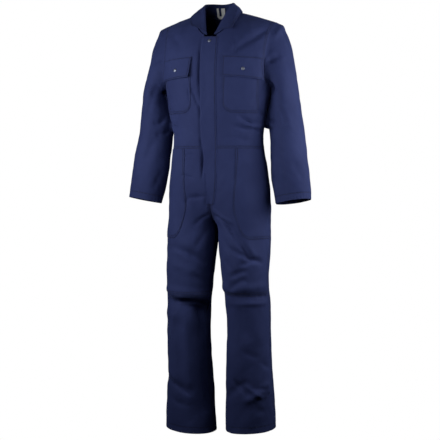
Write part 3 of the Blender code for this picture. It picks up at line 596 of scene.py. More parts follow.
FORM = TrunkForm()


@dataclass(frozen=True)
class Crease:
    """One soft trough or ridge along a line on the cloth.

    A positive lean makes the flank on the line's left steeper than the one on its right.
    REACH is how many widths away it ends, TAPER how soon it dies out at its ends, UNEVEN
    and SWELLS how its height varies along it, and RIM how far the cloth beside it moves
    the other way.
    """

    path: Grid
    width: float
    height: float
    lean: float
    wobble: float
    REACH = 3.0
    TAPER = 0.7
    UNEVEN = 0.22
    SWELLS = 9
    RIM = 0.25

    def lift(self, points: Grid, normals: Grid) -> Grid:
        """Works out how far the crease moves the cloth.

        Args:
            points: points on the plain form.
            normals: outward directions there.

        Returns:
            A distance outward for each point.
        """
        flat, up = points.reshape(-1, 3), normals.reshape(-1, 3)
        moved = np.zeros(len(flat))
        reach = self.REACH * self.width
        inside = (flat > self.path.min(0) - reach) & (flat < self.path.max(0) + reach)
        near = np.flatnonzero(inside.all(axis=1))
        if len(near) == 0:
            return moved.reshape(points.shape[:-1])
        start, run = self.path[:-1], np.diff(self.path, axis=0)
        away = flat[near, None] - start
        part = np.clip((away * run).sum(-1) / (run * run).sum(-1), 0, 1)
        gap = away - part[..., None] * run
        distance = np.linalg.norm(gap, axis=-1)
        best = distance.argmin(axis=1)
        pick = np.arange(len(near)), best
        share = (best + part[pick]) / len(run)
        side = (np.cross(unit(run[best]), up[near]) * gap[pick]).sum(-1)
        flank = 1 + self.lean * np.sign(side) * np.clip(np.abs(side) / self.width * 2, 0, 1)
        out = (distance[pick] / (self.width * flank)) ** 2
        taper = np.sin(np.pi * np.clip(share, 0, 1)) ** self.TAPER
        uneven = 1 + self.UNEVEN * np.sin(self.SWELLS * share + self.wobble)
        moved[near] = self.height * taper * uneven * np.exp(-out) * (1 - self.RIM * out)
        return moved.reshape(points.shape[:-1])


@dataclass(frozen=True)
class Slack:
    """The slight unevenness of cloth that hangs, as seeded waves through space.

    Each length has WAVES waves, and each wave is bent by a longer one.
    """

    seed: int
    lengths: tuple[float, ...] = (0.21, 0.16, 0.12, 0.09, 0.065, 0.045, 0.032)
    steepness: float = 0.0105
    upright: float = 0.55
    WAVES = 3
    BEND = 1.4
    BEND_LENGTH = 1.7

    def lift(self, points: Grid) -> Grid:
        """Works out how far the cloth is moved.

        Args:
            points: points on the plain form.

        Returns:
            A distance outward for each point.
        """
        draw = np.random.default_rng(self.seed)
        moved = np.zeros(points.shape[:-1])
        for length in self.lengths:
            for _ in range(self.WAVES):
                direction = unit(draw.normal(size=3) * (1, 1, self.upright))
                bend = unit(draw.normal(size=3))
                phase, bend_phase = draw.uniform(0, 2 * np.pi, 2)
                turns = points @ bend * 2 * np.pi / (self.BEND_LENGTH * length)
                warp = self.BEND * np.sin(turns + bend_phase)
                wave = np.sin(points @ direction * 2 * np.pi / length + phase + warp)
                moved += self.steepness * length / self.WAVES * wave
        return moved


def crease_path(ends: Grid, place_at: Callable[[Grid], Grid], bow: float, wobble: float) -> Grid:
    """Lays a crease's line over the form.

    Args:
        ends: the two ends, in the form's own coordinates.
        place_at: gives points of the form for such coordinates.
        bow: how far down the line sags, in metres.
        wobble: where its slight wave begins.

    Returns:
        Points along the line.
    """
    share = np.linspace(0, 1, CREASE_POINTS)[:, None]
    path = place_at(ends[0] + (ends[1] - ends[0]) * share)
    share = share[:, 0]
    wave = CREASE_WAVE * np.sin(CREASE_WAVES * share + wobble)
    path[:, 2] -= bow * np.sin(np.pi * share) + wave
    return path


def lay_creases(table: Table, half: int, place_at: Callable[[Grid], Grid]) -> list[Crease]:
    """Lays one half's creases over the form.

    Args:
        table: CREASES or SLEEVE_CREASES.
        half: which half, as the sign of X.
        place_at: gives points of the form for the table's coordinates.

    Returns:
        The creases.
    """
    creases = []
    for number, row in enumerate(zip(*table.values())):
        side, *ends, bow, width, height, lean = row
        if side != half:
            continue
        path = crease_path(np.array(ends).reshape(2, 2), place_at, bow, number)
        runs_right = path[-1, 0] > path[0, 0]
        creases.append(Crease(path, width, height, -lean if runs_right else lean, number))
    return creases


def middle_share(x: Grid) -> Grid:
    """How much of a half's own creases is left near the middle, where the halves meet.

    Args:
        x: distances from the middle.

    Returns:
        Shares from 0 to 1.
    """
    part = np.clip(np.abs(x) / MIDDLE_BLEND, 0, 1)
    return part * part * (3 - 2 * part)


class TrunkRelief:
    """Everything that moves the cloth of one half of the trunk and its leg off the form."""

    def __init__(self, half: int) -> None:
        """Lays out the creases of one half.

        Args:
            half: which half, as the sign of X.
        """
        self.half = half
        self.slack = Slack(seed=21)
        self.creases = lay_creases(CREASES, half, self._form_at)

    @staticmethod
    def _form_at(spots: Grid) -> Grid:
        """Points of the form at (bearing in degrees, level) pairs.

        Args:
            spots: the pairs.

        Returns:
            The points.
        """
        return FORM.points(FORM.place_of(spots[:, 1]), np.radians(spots[:, 0]))

    def _large_folds(self, place: Grid, bearing: Grid) -> Grid:
        """The folds that the part has too.

        Args:
            place: row numbers.
            bearing: bearings in radians.

        Returns:
            A distance outward for each point.
        """
        level = smooth(TRUNK["level"], place)
        height = np.zeros(level.shape)
        for side, bear, start_level, to_bear, to_level, width, rise in zip(*FOLDS.values()):
            if side != self.half:
                continue
            start = np.array([math.radians(bear) * FOLD_GIRTH, start_level])
            run = np.array([math.radians(to_bear) * FOLD_GIRTH, to_level]) - start
            offset = np.stack([bearing * FOLD_GIRTH - start[0], level - start[1]], axis=-1)
            share = np.clip(offset @ run / (run @ run), 0, 1)
            gap = np.linalg.norm(offset - share[..., None] * run, axis=-1)
            height += rise * np.exp(-((gap / width) ** 2))
        return height

    def cloth(self, place: Grid, bearing: Grid, lift: Grid | float = 0.0) -> tuple[Grid, Grid]:
        """Places the folded cloth in the world.

        Args:
            place: row numbers.
            bearing: bearings in radians.
            lift: how far above the suit's own cloth the piece lies.

        Returns:
            The points and their outward directions.
        """
        place, bearing = np.broadcast_arrays(place, bearing)
        plain, normal = FORM.points(place, bearing), FORM.normals(place, bearing)
        mirror = (self.half, 1, 1)
        from_creases = sum(crease.lift(plain, normal) for crease in self.creases)
        height = self.slack.lift(plain * mirror) + from_creases * middle_share(plain[..., 0])
        height = height * np.clip(place / SHOULDER_ROWS, 0, 1) + self._large_folds(place, bearing)
        points = plain + normal * (height + lift)[..., None]
        if self.half == RIGHT:
            below = np.clip((FORK - smooth(TRUNK["level"], place)) / (FORK - HEM), 0, 1)
            points[..., 2] -= RIGHT_LEG_DROP * below
        return points * mirror, normal * mirror


class SleeveForm:
    """One sleeve, lofted from the armhole over its rings, with its folds."""

    AROUND = 96
    HEAD_ROWS = 44
    RING_ROWS = 112
    NEXT_RING = 0.05
    UNDERARM = 0.01
    LEAST_DROP = 0.03
    SEAM_BLEND = 0.030
    SEEDS = {LEFT: 55, RIGHT: 89}

    def __init__(self, relief: TrunkRelief) -> None:
        """Lofts the sleeve and lays out its creases.

        Args:
            relief: the folded cloth of the half whose armhole it is sewn into.
        """
        self.half = relief.half
        self.turns = np.arange(self.AROUND) * 2 * math.pi / self.AROUND
        self.plain = self._loft(*self._armhole(relief))
        self.outward = -grid_normal(self.plain, True)
        self.slack = Slack(self.SEEDS[self.half])
        self.creases = lay_creases(SLEEVE_CREASES, self.half, self._at)

    def _armhole(self, relief: TrunkRelief) -> tuple[Grid, Grid, Grid]:
        """Finds the armhole and the directions there.

        Args:
            relief: the folded cloth of the half.

        Returns:
            Points round it, the directions in which the sleeve leaves, and the outward ones.
        """
        last = len(ARMHOLE["level"]) - 1
        forward = self.turns <= math.pi
        rows = np.where(forward, self.turns, 2 * math.pi - self.turns) / math.pi * last
        place = FORM.place_of(smooth(ARMHOLE["level"], rows))
        widest = smooth(TRUNK["side"], place)
        edge = smooth(ARMHOLE["back_x"], rows)
        edge = np.where(forward, smooth(ARMHOLE["front_x"], rows), edge)
        edge = np.where(rows > last - self.UNDERARM, widest, np.minimum(edge, widest))
        bearing = FORM.bearing_at(place, edge) * np.where(forward, 1, -1)
        points, normal = relief.cloth(place, bearing)
        mirror = (self.half, 1, 1)
        points, normal = points * mirror, normal * mirror
        along = unit(np.roll(points, -1, axis=0) - np.roll(points, 1, axis=0))
        return points, unit(np.cross(normal, along)), normal

    def _rings(self, rows: Grid) -> Grid:
        """Draws the rings below the underarm.

        Args:
            rows: fractional rows of SLEEVE.

        Returns:
            A grid of points.
        """
        ring = read_rows(SLEEVE, rows[:, None])
        out = np.cos(self.turns)[None] * ring["half_width"]
        forward = np.sin(self.turns)[None] * ring["half_depth"]
        z = ring["level"] + ring["outer_rise"] * out + ring["front_rise"] * forward
        return np.stack([ring["x"] + out, ring["y"] - forward, z], axis=-1)

    def _loft(self, start: Grid, leave: Grid, normal: Grid) -> Grid:
        """Joins the armhole to the rings.

        Args:
            start: points round the armhole.
            leave: directions along the cloth there.
            normal: outward directions there.

        Returns:
            A grid of points from the armhole to the cuff.
        """
        heads = len(SLEEVE_HEAD["reach"])
        place = self.turns / (2 * math.pi) * heads
        wrapped = {name: np.append(col, col[0]) for name, col in SLEEVE_HEAD.items()}
        head = read_rows(wrapped, place[:, None])
        turned_in = leave * np.cos(head["valley"]) - normal * np.sin(head["valley"])
        leave = unit(turned_in) * head["reach"]
        first, second = self._rings(np.array([0.0, self.NEXT_RING]))
        drop = np.linalg.norm(first - start, axis=-1, keepdims=True)
        arrive = unit(second - first) * np.maximum(drop, self.LEAST_DROP)
        share = np.linspace(0, 1, self.HEAD_ROWS + 1)[:, None, None]
        head = hermite(start[None], leave[None], first[None], arrive[None], share)
        head[0] += unit(head[1] - head[0]) * SLEEVE_GAP
        rows = np.linspace(0, len(SLEEVE["level"]) - 1, self.RING_ROWS + 1)[1:]
        return np.concatenate([head, self._rings(rows)])

    def _at(self, spots: Grid) -> Grid:
        """Points of the plain sleeve at (turn in degrees, share of length) pairs.

        Args:
            spots: the pairs.

        Returns:
            The points.
        """
        rows = spots[:, 1] * (len(self.plain) - 1)
        columns = spots[:, 0] / 360 * self.AROUND
        low_row = np.minimum(rows.astype(int), len(self.plain) - 2)
        low = columns.astype(int)
        down, over = (rows - low_row)[:, None], (columns - low)[:, None]
        near, far = low % self.AROUND, (low + 1) % self.AROUND
        upper, lower = (
            self.plain[row, near] * (1 - over) + self.plain[row, far] * over
            for row in (low_row, low_row + 1)
        )
        return upper * (1 - down) + lower * down

    def cloth(self) -> tuple[Grid, Grid]:
        """Places the folded sleeve in the world.

        Returns:
            The points and their outward directions.
        """
        height = self.slack.lift(self.plain)
        height = height + sum(crease.lift(self.plain, self.outward) for crease in self.creases)
        height *= np.clip(run_lengths(self.plain) / self.SEAM_BLEND, 0, 1)
        mirror = (self.half, 1, 1)
        return (self.plain + self.outward * height[..., None]) * mirror, self.outward * mirror


def add_piece(name: str, mesh: bpy.types.Mesh, finish: bpy.types.Material) -> bpy.types.Object:
    """Puts a smooth mesh in the scene, riding the suit.

    Args:
        name: the piece's name.
        mesh: its mesh.
        finish: its material.

    Returns:
        The object.
    """
    mesh.shade_smooth()
    mesh.materials.append(finish)
    made = bpy.data.objects.new(name, mesh)
    bpy.context.scene.collection.objects.link(made)
    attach(made, "root")
    return made


@dataclass(frozen=True)
class Edge:
    """How one edge of a piece is sewn, over a share of its length."""

    side: str
    sewn: Sewn
    start: float = 0.0
    end: float = 1.0
    pucker: float = 0.00030


def sew(sides: str, sewn: Sewn, pucker: float = 0.0003) -> tuple[Edge, ...]:
    """Sews several edges alike.

    Args:
        sides: their names, with spaces between them.
        sewn: how they are sewn.
        pucker: how far they pucker.

    Returns:
        The edges.
    """
    return tuple(Edge(side, sewn, pucker=pucker) for side in sides.split())


@dataclass
class Cloth:
    """One cut piece: a grid of points on its outer face, with a wall behind it.

    Beside its sewn edges the cloth puckers, in waves of PUCKER_PITCH that are strongest
    PUCKER_DEPTH in, and whose pitch and height drift along the seam.
    """

    name: str
    points: Grid
    normals: Grid
    edges: tuple[Edge, ...] = ()
    closed: bool = False
    wall: Grid | float = CLOTH
    slot: str = "twill"
    PUCKER_PITCH = 0.0125
    PUCKER_DEPTH = 0.0045
    PITCH_DRIFT = 0.034
    HEIGHT_DRIFT = 0.023
    EVEN_SHARE = 0.6
    BEYOND = 4.0
    SHARP_ANGLE = 60

    def __post_init__(self) -> None:
        """Puckers the sewn edges."""
        moved = np.zeros(self.points.shape[:2])
        for number, edge in enumerate(self.edges):
            depth, run = self.from_edge(edge)
            near = depth / self.PUCKER_DEPTH
            drift = 2 * np.sin(run / self.PITCH_DRIFT + number)
            wave = np.sin(2 * np.pi * run / self.PUCKER_PITCH + drift)
            swell = (1 - self.EVEN_SHARE) * np.sin(run / self.HEIGHT_DRIFT + 3 * number)
            moved += edge.pucker * (self.EVEN_SHARE + swell) * near * np.exp(1 - near) * wave
        self.points = self.points + self.normals * moved[..., None]

    def turned(self, side: str, values: Grid) -> Grid:
        """Turns a grid so that one edge is its first row.

        Args:
            side: top, foot, start or end.
            values: the grid.

        Returns:
            A view of it.
        """
        if side in ("start", "end"):
            values = values.swapaxes(0, 1)
        return values[::-1] if side in ("foot", "end") else values

    def from_edge(self, edge: Edge) -> tuple[Grid, Grid]:
        """Measures from a sewn edge.

        Args:
            edge: the edge.

        Returns:
            For each grid point, its distance from the edge and the run along the edge. The
            distance is raised past the ends of what is sewn.
        """
        turned = self.turned(edge.side, self.points)
        depth = run_lengths(turned)
        run = np.broadcast_to(run_lengths(turned[0]), depth.shape)
        along = np.linspace(0, 1, depth.shape[1])
        outside = np.maximum(edge.start - along, along - edge.end).clip(0, 1)
        depth = depth + outside * self.BEYOND
        if edge.side in ("foot", "end"):
            depth, run = depth[::-1], run[::-1]
        if edge.side in ("start", "end"):
            depth, run = depth.T, run.T
        return depth, run

    def row(self, edge: Edge, inset: float) -> tuple[Grid, Grid]:
        """Finds the line for a row of stitches.

        Args:
            edge: the edge that it follows.
            inset: its distance from that edge.

        Returns:
            Points along the row and the outward directions there.
        """
        turned = self.turned(edge.side, self.points)
        outward = self.turned(edge.side, self.normals)
        depth = run_lengths(turned)
        count = turned.shape[1]
        chosen = range(round(edge.start * (count - 1)), round(edge.end * (count - 1)) + 1)
        line = []
        for column in chosen:
            spot = np.interp(inset, depth[:, column], np.arange(len(depth)))
            low = min(int(spot), len(depth) - 2)
            part = spot - low
            grids = (turned[:, column], outward[:, column])
            line.append([grid[low] * (1 - part) + grid[low + 1] * part for grid in grids])
        if self.closed and edge.side in ("top", "foot"):
            line.append(line[0])
        line = np.array(line)
        return line[:, 0], unit(line[:, 1])

    def faces(self) -> list[list[int]]:
        """Lists the corners of every face of the two skins and the walls between them.

        Returns:
            Lists of point numbers, with each face's outer side facing out.
        """
        rows, columns = self.points.shape[:2]
        spans = columns if self.closed else columns - 1
        row, column = np.meshgrid(np.arange(rows - 1), np.arange(spans), indexing="ij")
        after = (column + 1) % columns
        upper, lower = row * columns, (row + 1) * columns
        corners = [upper + column, lower + column, lower + after, upper + after]
        outer = np.stack(corners, axis=-1).reshape(-1, 4)
        inner = outer[:, ::-1] + rows * columns
        rims = [[(0, c % columns) for c in range(spans + 1)]]
        rims.append([(rows - 1, c % columns) for c in reversed(range(spans + 1))])
        if not self.closed:
            rims.append([(r, 0) for r in reversed(range(rows))])
            rims.append([(r, columns - 1) for r in range(rows)])
        walls = []
        for rim in rims:
            line = np.array([r * columns + c for r, c in rim])
            behind = line + rows * columns
            walls.append(np.stack([line[:-1], line[1:], behind[1:], behind[:-1]], axis=-1))
        faces = np.concatenate([outer, inner, *walls])
        down = self.points[1:, :1] - self.points[:-1, :1]
        right = self.points[:-1, 1:2] - self.points[:-1, :1]
        middle = len(down) // 2
        outward = np.cross(down[middle, 0], right[middle, 0]) @ self.normals[middle, 0]
        return (faces if outward > 0 else faces[:, ::-1]).tolist()

    def build(self, material: bpy.types.Material) -> bpy.types.Object:
        """Args:
            material: its finish.

        Returns:
            The object.
        """
        wall = np.broadcast_to(self.wall, self.points.shape[:2])
        inner = self.points - self.normals * wall[..., None]
        skins = np.concatenate([self.points.reshape(-1, 3), inner.reshape(-1, 3)])
        mesh = bpy.data.meshes.new(self.name)
        mesh.from_pydata(skins.tolist(), [], self.faces())
        self._measure(mesh)
        made = add_piece(f"{self.name}_cloth", mesh, material)
        mesh.set_sharp_from_angle(angle=math.radians(self.SHARP_ANGLE))
        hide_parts(self.name)
        return made

    def _measure(self, mesh: bpy.types.Mesh) -> None:
        """Writes the lengths across and down the cloth, and the distances from sewn edges.

        Args:
            mesh: the mesh that takes them.
        """
        across = run_lengths(self.points.swapaxes(0, 1)).swapaxes(0, 1)
        down = run_lengths(self.points)
        lengths = np.stack([across, down], axis=-1).reshape(-1, 2)
        both = np.concatenate([lengths, lengths])
        corner = np.zeros(len(mesh.loops), np.int32)
        mesh.loops.foreach_get("vertex_index", corner)
        mesh.uv_layers.new(name="weave").data.foreach_set("uv", both[corner].ravel())
        for sewn in STITCHED:
            nearest = np.ones(self.points.shape[:2])
            for edge in self.edges:
                if edge.sewn is sewn:
                    nearest = np.minimum(nearest, self.from_edge(edge)[0])
            layer = mesh.attributes.new(sewn.name.lower(), "FLOAT", "POINT")
            layer.data.foreach_set("value", np.tile(nearest.ravel(), 2).astype(np.float32))

    def flat(self) -> tuple[float, float, float]:
        """Measures an open piece laid flat.

        Returns:
            Its width, its length and its area.
        """
        points = self.points
        width = run_lengths(points.swapaxes(0, 1))[-1].max()
        length = run_lengths(points)[-1].max()
        one, other = points[1:, 1:] - points[:-1, :-1], points[1:, :-1] - points[:-1, 1:]
        area = np.linalg.norm(np.cross(one, other), axis=-1).sum() / 2
        return float(width), float(length), float(min(area, width * length))


def edge_share(count: int, both: bool = True, fineness: float = 0.10) -> Grid:
    """Divides a length from 0 to 1, finer near its ends.

    Args:
        count: how many points.
        both: whether it is finer at both ends or only near 1.
        fineness: how much finer.

    Returns:
        The shares.
    """
    even = np.linspace(0, 1, count)
    if both:
        return even - fineness * np.sin(2 * np.pi * even)
    return even + 2 * fineness * np.sin(np.pi * even)


def coons(top: Grid, foot: Grid, start: Grid, end: Grid) -> Grid:
    """Fills a four-sided outline whose lists share their corner points.

    Args:
        top: the first row.
        foot: the last row.
        start: the first column.
        end: the last column.

    Returns:
        The whole grid.
    """
    across = np.linspace(0, 1, len(top))[None, :, None]
    down = np.linspace(0, 1, len(start))[:, None, None]
    rails = (1 - down) * top[None] + down * foot[None]
    posts = (1 - across) * start[:, None] + across * end[:, None]
    corners = (1 - down) * ((1 - across) * top[0] + across * top[-1])
    corners = corners + down * ((1 - across) * foot[0] + across * foot[-1])
    return rails + posts - corners


def hold_off(
    points: Grid, pieces: list[Cloth], clearance: float, near: float = 0.02, beside: float = 0.004
) -> Grid:
    """Moves points out so that they clear other pieces.

    Args:
        points: the points.
        pieces: what they lie over.
        clearance: how far off they must be.
        near: how far off a piece is looked for.
        beside: how far past a piece's edge it still counts.

    Returns:
        The points, moved where they were too near.
    """
    flat = points.reshape(-1, 3).copy()
    for piece in pieces:
        rows, columns = piece.points.shape[:2]
        faces = [face for face in piece.faces() if max(face) < rows * columns]
        tree = BVHTree.FromPolygons(piece.points.reshape(-1, 3).tolist(), faces)
        for number, point in enumerate(flat):
            spot, normal, _, _ = tree.find_nearest(Vector(point), near)
            if spot is None:
                continue
            above = (Vector(point) - spot).dot(normal)
            level = (Vector(point) - spot - normal * above).length
            if above < clearance and level < beside:
                flat[number] = point + np.array(normal) * (clearance - above)
    return flat.reshape(points.shape)


@dataclass(frozen=True)
class TwillFinish:
    """Navy cotton twill: a fine diagonal rib, slight colour unevenness and a soft sheen."""

    color: tuple[float, float, float] = (0.0172, 0.0250, 0.088)
    worn: tuple[float, float, float] = (0.0242, 0.0345, 0.112)
    # painted shade: the darker colour that the cloth takes along each row of stitches, for the
    # shadow in its groove
    groove_shade: tuple[float, float, float] = (0.006, 0.008, 0.026)
    rib: float = 0.0009
    rib_slope: float = 1.9
    rib_depth: float = 0.00004
    fuzz_depth: float = 0.00022
    crumple_depth: float = 0.0011
    seam_depth: float = 0.0007
    roughness: float = 0.80
    sheen: float = 0.10
    sheen_tint: tuple[float, float, float] = (0.30, 0.40, 1.0)

    def material(self) -> bpy.types.Material:
        """Makes the material.

        Returns:
            The material.
        """
        nodes = Nodes("twill")
        weave = nodes.add("ShaderNodeUVMap", uv_map="weave")
        split = nodes.add("ShaderNodeSeparateXYZ", Vector=weave)
        diagonal = nodes.math(
            "MULTIPLY_ADD", split.outputs["Y"], self.rib_slope, split.outputs["X"]
        )
        rib = nodes.math("SINE", nodes.math("MULTIPLY", diagonal, 2 * math.pi / self.rib))
        place = nodes.add("ShaderNodeTexCoord").outputs["Object"]
        broad = nodes.noise(place, scale=7.0, detail=3.0)
        fuzz = nodes.noise(place, scale=160.0, detail=4.0)
        slub = nodes.noise(nodes.stretched(weave, (2600.0, 170.0, 1.0)), scale=1.0, detail=2.0)
        tone = nodes.mix(broad, self.color, self.worn, low=0.30, high=0.78)
        tone = nodes.mix(slub, tone, self.worn, low=0.55, high=1.25)
        rows = nodes.stitch_rows()
        crumple = nodes.noise(place, scale=46.0, detail=3.0)
        height = nodes.math("MULTIPLY", fuzz, self.fuzz_depth)
        for part, depth in (
            (rib, self.rib_depth), (crumple, self.crumple_depth), (rows, -self.seam_depth)
        ):
            height = nodes.math("MULTIPLY_ADD", part, depth, height)
        nodes.set_shader(
            # painted shade: the colour darkens along the rows of stitches, where their grooves lie
            # in shadow
            Base_Color=nodes.mix(rows, tone, self.groove_shade, low=0.0, high=1.35),
            Normal=nodes.bump(height, strength=0.55),
            Roughness=self.roughness,
            Specular_IOR_Level=0.14,
            Sheen_Weight=self.sheen,
            Sheen_Roughness=0.45,
            Sheen_Tint=self.sheen_tint,
        )
        return nodes.made


@dataclass(frozen=True)
class ThreadFinish:
    """Sewing thread, a shade lighter than the cloth."""

    color: tuple[float, float, float] = (0.030, 0.041, 0.120)
    shade: float = 0.7
    roughness: float = 0.55

    def material(self) -> bpy.types.Material:
        """Makes the material.

        Returns:
            The material.
        """
        nodes = Nodes("thread")
        place = nodes.add("ShaderNodeTexCoord").outputs["Object"]
        tone = nodes.noise(place, scale=420.0, detail=2.0)
        dark = tuple(self.shade * value for value in self.color)
        tone = nodes.mix(tone, dark, self.color, low=0.3, high=0.7)
        nodes.set_shader(Base_Color=tone, Roughness=self.roughness)
        return nodes.made


@dataclass(frozen=True)
class StudFinish:
    """Satin nickel plate with fine scuffs."""

    color: tuple[float, float, float] = (0.19, 0.21, 0.27)
    shade: float = 0.72
    metal: float = 0.85
    roughness: float = 0.46

    def material(self) -> bpy.types.Material:
        """Makes the material.

        Returns:
            The material.
        """
        nodes = Nodes("stud")
        place = nodes.add("ShaderNodeTexCoord").outputs["Object"]
        scuff = nodes.noise(place, scale=900.0, detail=3.0)
        dull = tuple(self.shade * value for value in self.color)
        tone = nodes.mix(scuff, dull, self.color, low=0.3, high=0.6)
        nodes.set_shader(Base_Color=tone, Metallic=self.metal, Roughness=self.roughness)
        return nodes.made


@dataclass(frozen=True)
class TapeFinish:
    """White cotton tape with a plain crosswise weave."""

    color: tuple[float, float, float] = (0.86, 0.87, 0.88)
    # how dark the shade painted into the troughs of the rib is
    shade: float = 0.86
    rib: float = 0.0008
    rib_depth: float = 0.00005
    roughness: float = 0.82

    def material(self) -> bpy.types.Material:
        """Makes the material.

        Returns:
            The material.
        """
        nodes = Nodes("tape")
        weave = nodes.add("ShaderNodeUVMap", uv_map="weave")
        split = nodes.add("ShaderNodeSeparateXYZ", Vector=weave)
        rib = nodes.math("SINE", nodes.math("MULTIPLY", split.outputs["Y"], 2 * math.pi / self.rib))
        # painted shade: the tape is darker in the troughs of its rib, where the weave shades itself
        rib_trough_shade = tuple(self.shade * value for value in self.color)
        height = nodes.math("MULTIPLY", rib, self.rib_depth)
        nodes.set_shader(
            Base_Color=nodes.mix(rib, rib_trough_shade, self.color, low=-1.0, high=1.0),
            Normal=nodes.bump(height, strength=0.6),
            Roughness=self.roughness,
        )
        return nodes.made


class Nodes:
    """Builds one material's nodes."""

    GROOVE_WIDTH = 0.0014

    def __init__(self, name: str) -> None:
        """Starts a material.

        Args:
            name: the material's name.
        """
        self.made = bpy.data.materials.new(name)
        self.made.use_nodes = True
        self.tree = self.made.node_tree
        self.shader = self.tree.nodes["Principled BSDF"]

    def link(self, value: object, socket: bpy.types.NodeSocket) -> None:
        """Feeds a value into a socket.

        Args:
            value: a node, a socket, a number or a colour.
            socket: where it goes.
        """
        if isinstance(value, bpy.types.Node):
            value = value.outputs[0]
        if isinstance(value, bpy.types.NodeSocket):
            self.tree.links.new(value, socket)
        elif isinstance(value, tuple):
            socket.default_value = (*value, 1.0) if len(value) == 3 else value
        else:
            socket.default_value = value

    def add(self, kind: str, uv_map: str = "", **inputs: object) -> bpy.types.Node:
        """Adds a node.

        Args:
            kind: the node's type.
            uv_map: the lengths that it reads, where it has a map.
            **inputs: what goes into its sockets, by name.

        Returns:
            The node.
        """
        node = self.tree.nodes.new(kind)
        if uv_map:
            node.uv_map = uv_map
        for name, value in inputs.items():
            self.link(value, node.inputs[name])
        return node

    def set_shader(self, **inputs: object) -> None:
        """Feeds the surface itself.

        Args:
            **inputs: what goes into its sockets, by name with _ for each space.
        """
        for name, value in inputs.items():
            self.link(value, self.shader.inputs[name.replace("_", " ")])

    def bump(self, height: object, strength: float) -> bpy.types.NodeSocket:
        """Turns heights in metres into a rough surface.

        Args:
            height: the heights.
            strength: how much of them shows.

        Returns:
            The surface's direction.
        """
        node = self.add("ShaderNodeBump", Height=height, Strength=strength, Distance=1.0)
        return node.outputs["Normal"]

    def math(self, kind: str, *values: object) -> bpy.types.NodeSocket:
        """Adds a sum.

        Args:
            kind: which operation.
            *values: its inputs in order.

        Returns:
            Its result.
        """
        node = self.tree.nodes.new("ShaderNodeMath")
        node.operation = kind
        for value, socket in zip(values, node.inputs):
            self.link(value, socket)
        return node.outputs[0]

    def noise(self, place: object, scale: float, detail: float) -> bpy.types.NodeSocket:
        """Adds a noise from 0 to 1.

        Args:
            place: where it is read.
            scale: how fine it is.
            detail: how many finer layers it has.

        Returns:
            Its value.
        """
        node = self.add("ShaderNodeTexNoise", Vector=place, Scale=scale, Detail=detail)
        return node.outputs[0]

    def stretched(self, place: object, scale: tuple[float, float, float]) -> bpy.types.Node:
        """Scales coordinates.

        Args:
            place: the coordinates.
            scale: how much along each axis.

        Returns:
            The scaled ones.
        """
        node = self.add("ShaderNodeMapping", Vector=place)
        node.inputs["Scale"].default_value = scale
        return node

    def mix(
        self, share: object, one: object, other: object, low: float, high: float
    ) -> bpy.types.NodeSocket:
        """Mixes two colours.

        Args:
            share: what decides the mix.
            one: the colour at the low end.
            other: the colour at the high end.
            low: the share that gives only the first.
            high: the share that gives only the second.

        Returns:
            The mixed colour.
        """
        part = self.tree.nodes.new("ShaderNodeMapRange")
        for name, value in (("Value", share), ("From Min", low), ("From Max", high)):
            self.link(value, part.inputs[name])
        mixed = self.tree.nodes.new("ShaderNodeMix")
        mixed.data_type = "RGBA"
        self.link(part.outputs[0], mixed.inputs[0])
        self.link(one, mixed.inputs[6])
        self.link(other, mixed.inputs[7])
        return mixed.outputs[2]

    def stitch_rows(self) -> bpy.types.NodeSocket:
        """Marks the narrow grooves that stitches pull in, for their dent and their painted shade.

        Returns:
            A value that is 1 along a row and 0 away from it.
        """
        total = None
        for sewn in STITCHED:
            distance = self.tree.nodes.new("ShaderNodeAttribute")
            distance.attribute_name = sewn.name.lower()
            for inset in sewn.value:
                away = self.math("SUBTRACT", distance.outputs["Fac"], inset)
                away = self.math("DIVIDE", away, self.GROOVE_WIDTH)
                square = self.math("MULTIPLY", away, away)
                close = self.math("EXPONENT", self.math("MULTIPLY", square, -1.0))
                total = close if total is None else self.math("MAXIMUM", total, close)
        return total


@dataclass
class Stitching:
    """Rows of stitches over one sub-assembly, each a short raised thread."""

    name: str
    pitch: float = 0.0036
    length: float = 0.0027
    radius: float = 0.00032
    dip: float = 0.5
    rise: float = 0.6
    bends: tuple[float, float] = (0.25, 0.75)
    fewest: int = 3
    rows: list[tuple[Grid, Grid]] = field(default_factory=list)

    def sew(self, cloth: Cloth) -> None:
        """Adds the rows of one piece.

        Args:
            cloth: the piece.
        """
        for edge in cloth.edges:
            for inset in edge.sewn.value:
                self.rows.append(cloth.row(edge, inset))

    def build(self, material: bpy.types.Material) -> None:
        """Makes all the stitches as one piece.

        Args:
            material: the thread's finish.
        """
        points, faces = [], []
        for line, outward in self.rows:
            run = run_lengths(line)
            if run[-1] < self.fewest * self.pitch:
                continue
            middles = np.arange(self.pitch, run[-1] - self.pitch / 2, self.pitch)
            for middle in middles:
                ends = read_line(line, run, middle + self.length * np.array([-0.5, 0.5]))
                up = read_line(outward, run, middle)
                self._stitch(ends, up, points, faces)
        mesh = bpy.data.meshes.new(self.name)
        mesh.from_pydata(points, [], faces)
        add_piece(self.name, mesh, material)

    def _stitch(self, ends: Grid, up: Grid, points: list, faces: list) -> None:
        """Adds one stitch: a thin rounded bar that dips into the cloth at both ends.

        Args:
            ends: where it goes into the cloth.
            up: the outward direction.
            points: the points so far.
            faces: the faces so far.
        """
        first = len(points)
        along = unit(ends[1] - ends[0])
        side = np.cross(along, up) * self.radius
        rise = up * self.radius
        points.append((ends[0] - rise * self.dip).tolist())
        for share in self.bends:
            centre = ends[0] + (ends[1] - ends[0]) * share + rise * self.rise
            for corner in (side, rise, -side, -rise):
                points.append((centre + corner).tolist())
        points.append((ends[1] - rise * self.dip).tolist())
        near, far, last = first + 1, first + 5, first + 9
        for corner in range(4):
            after = (corner + 1) % 4
            faces.append((first, near + after, near + corner))
            faces.append((near + corner, near + after, far + after, far + corner))
            faces.append((last, far + corner, far + after))


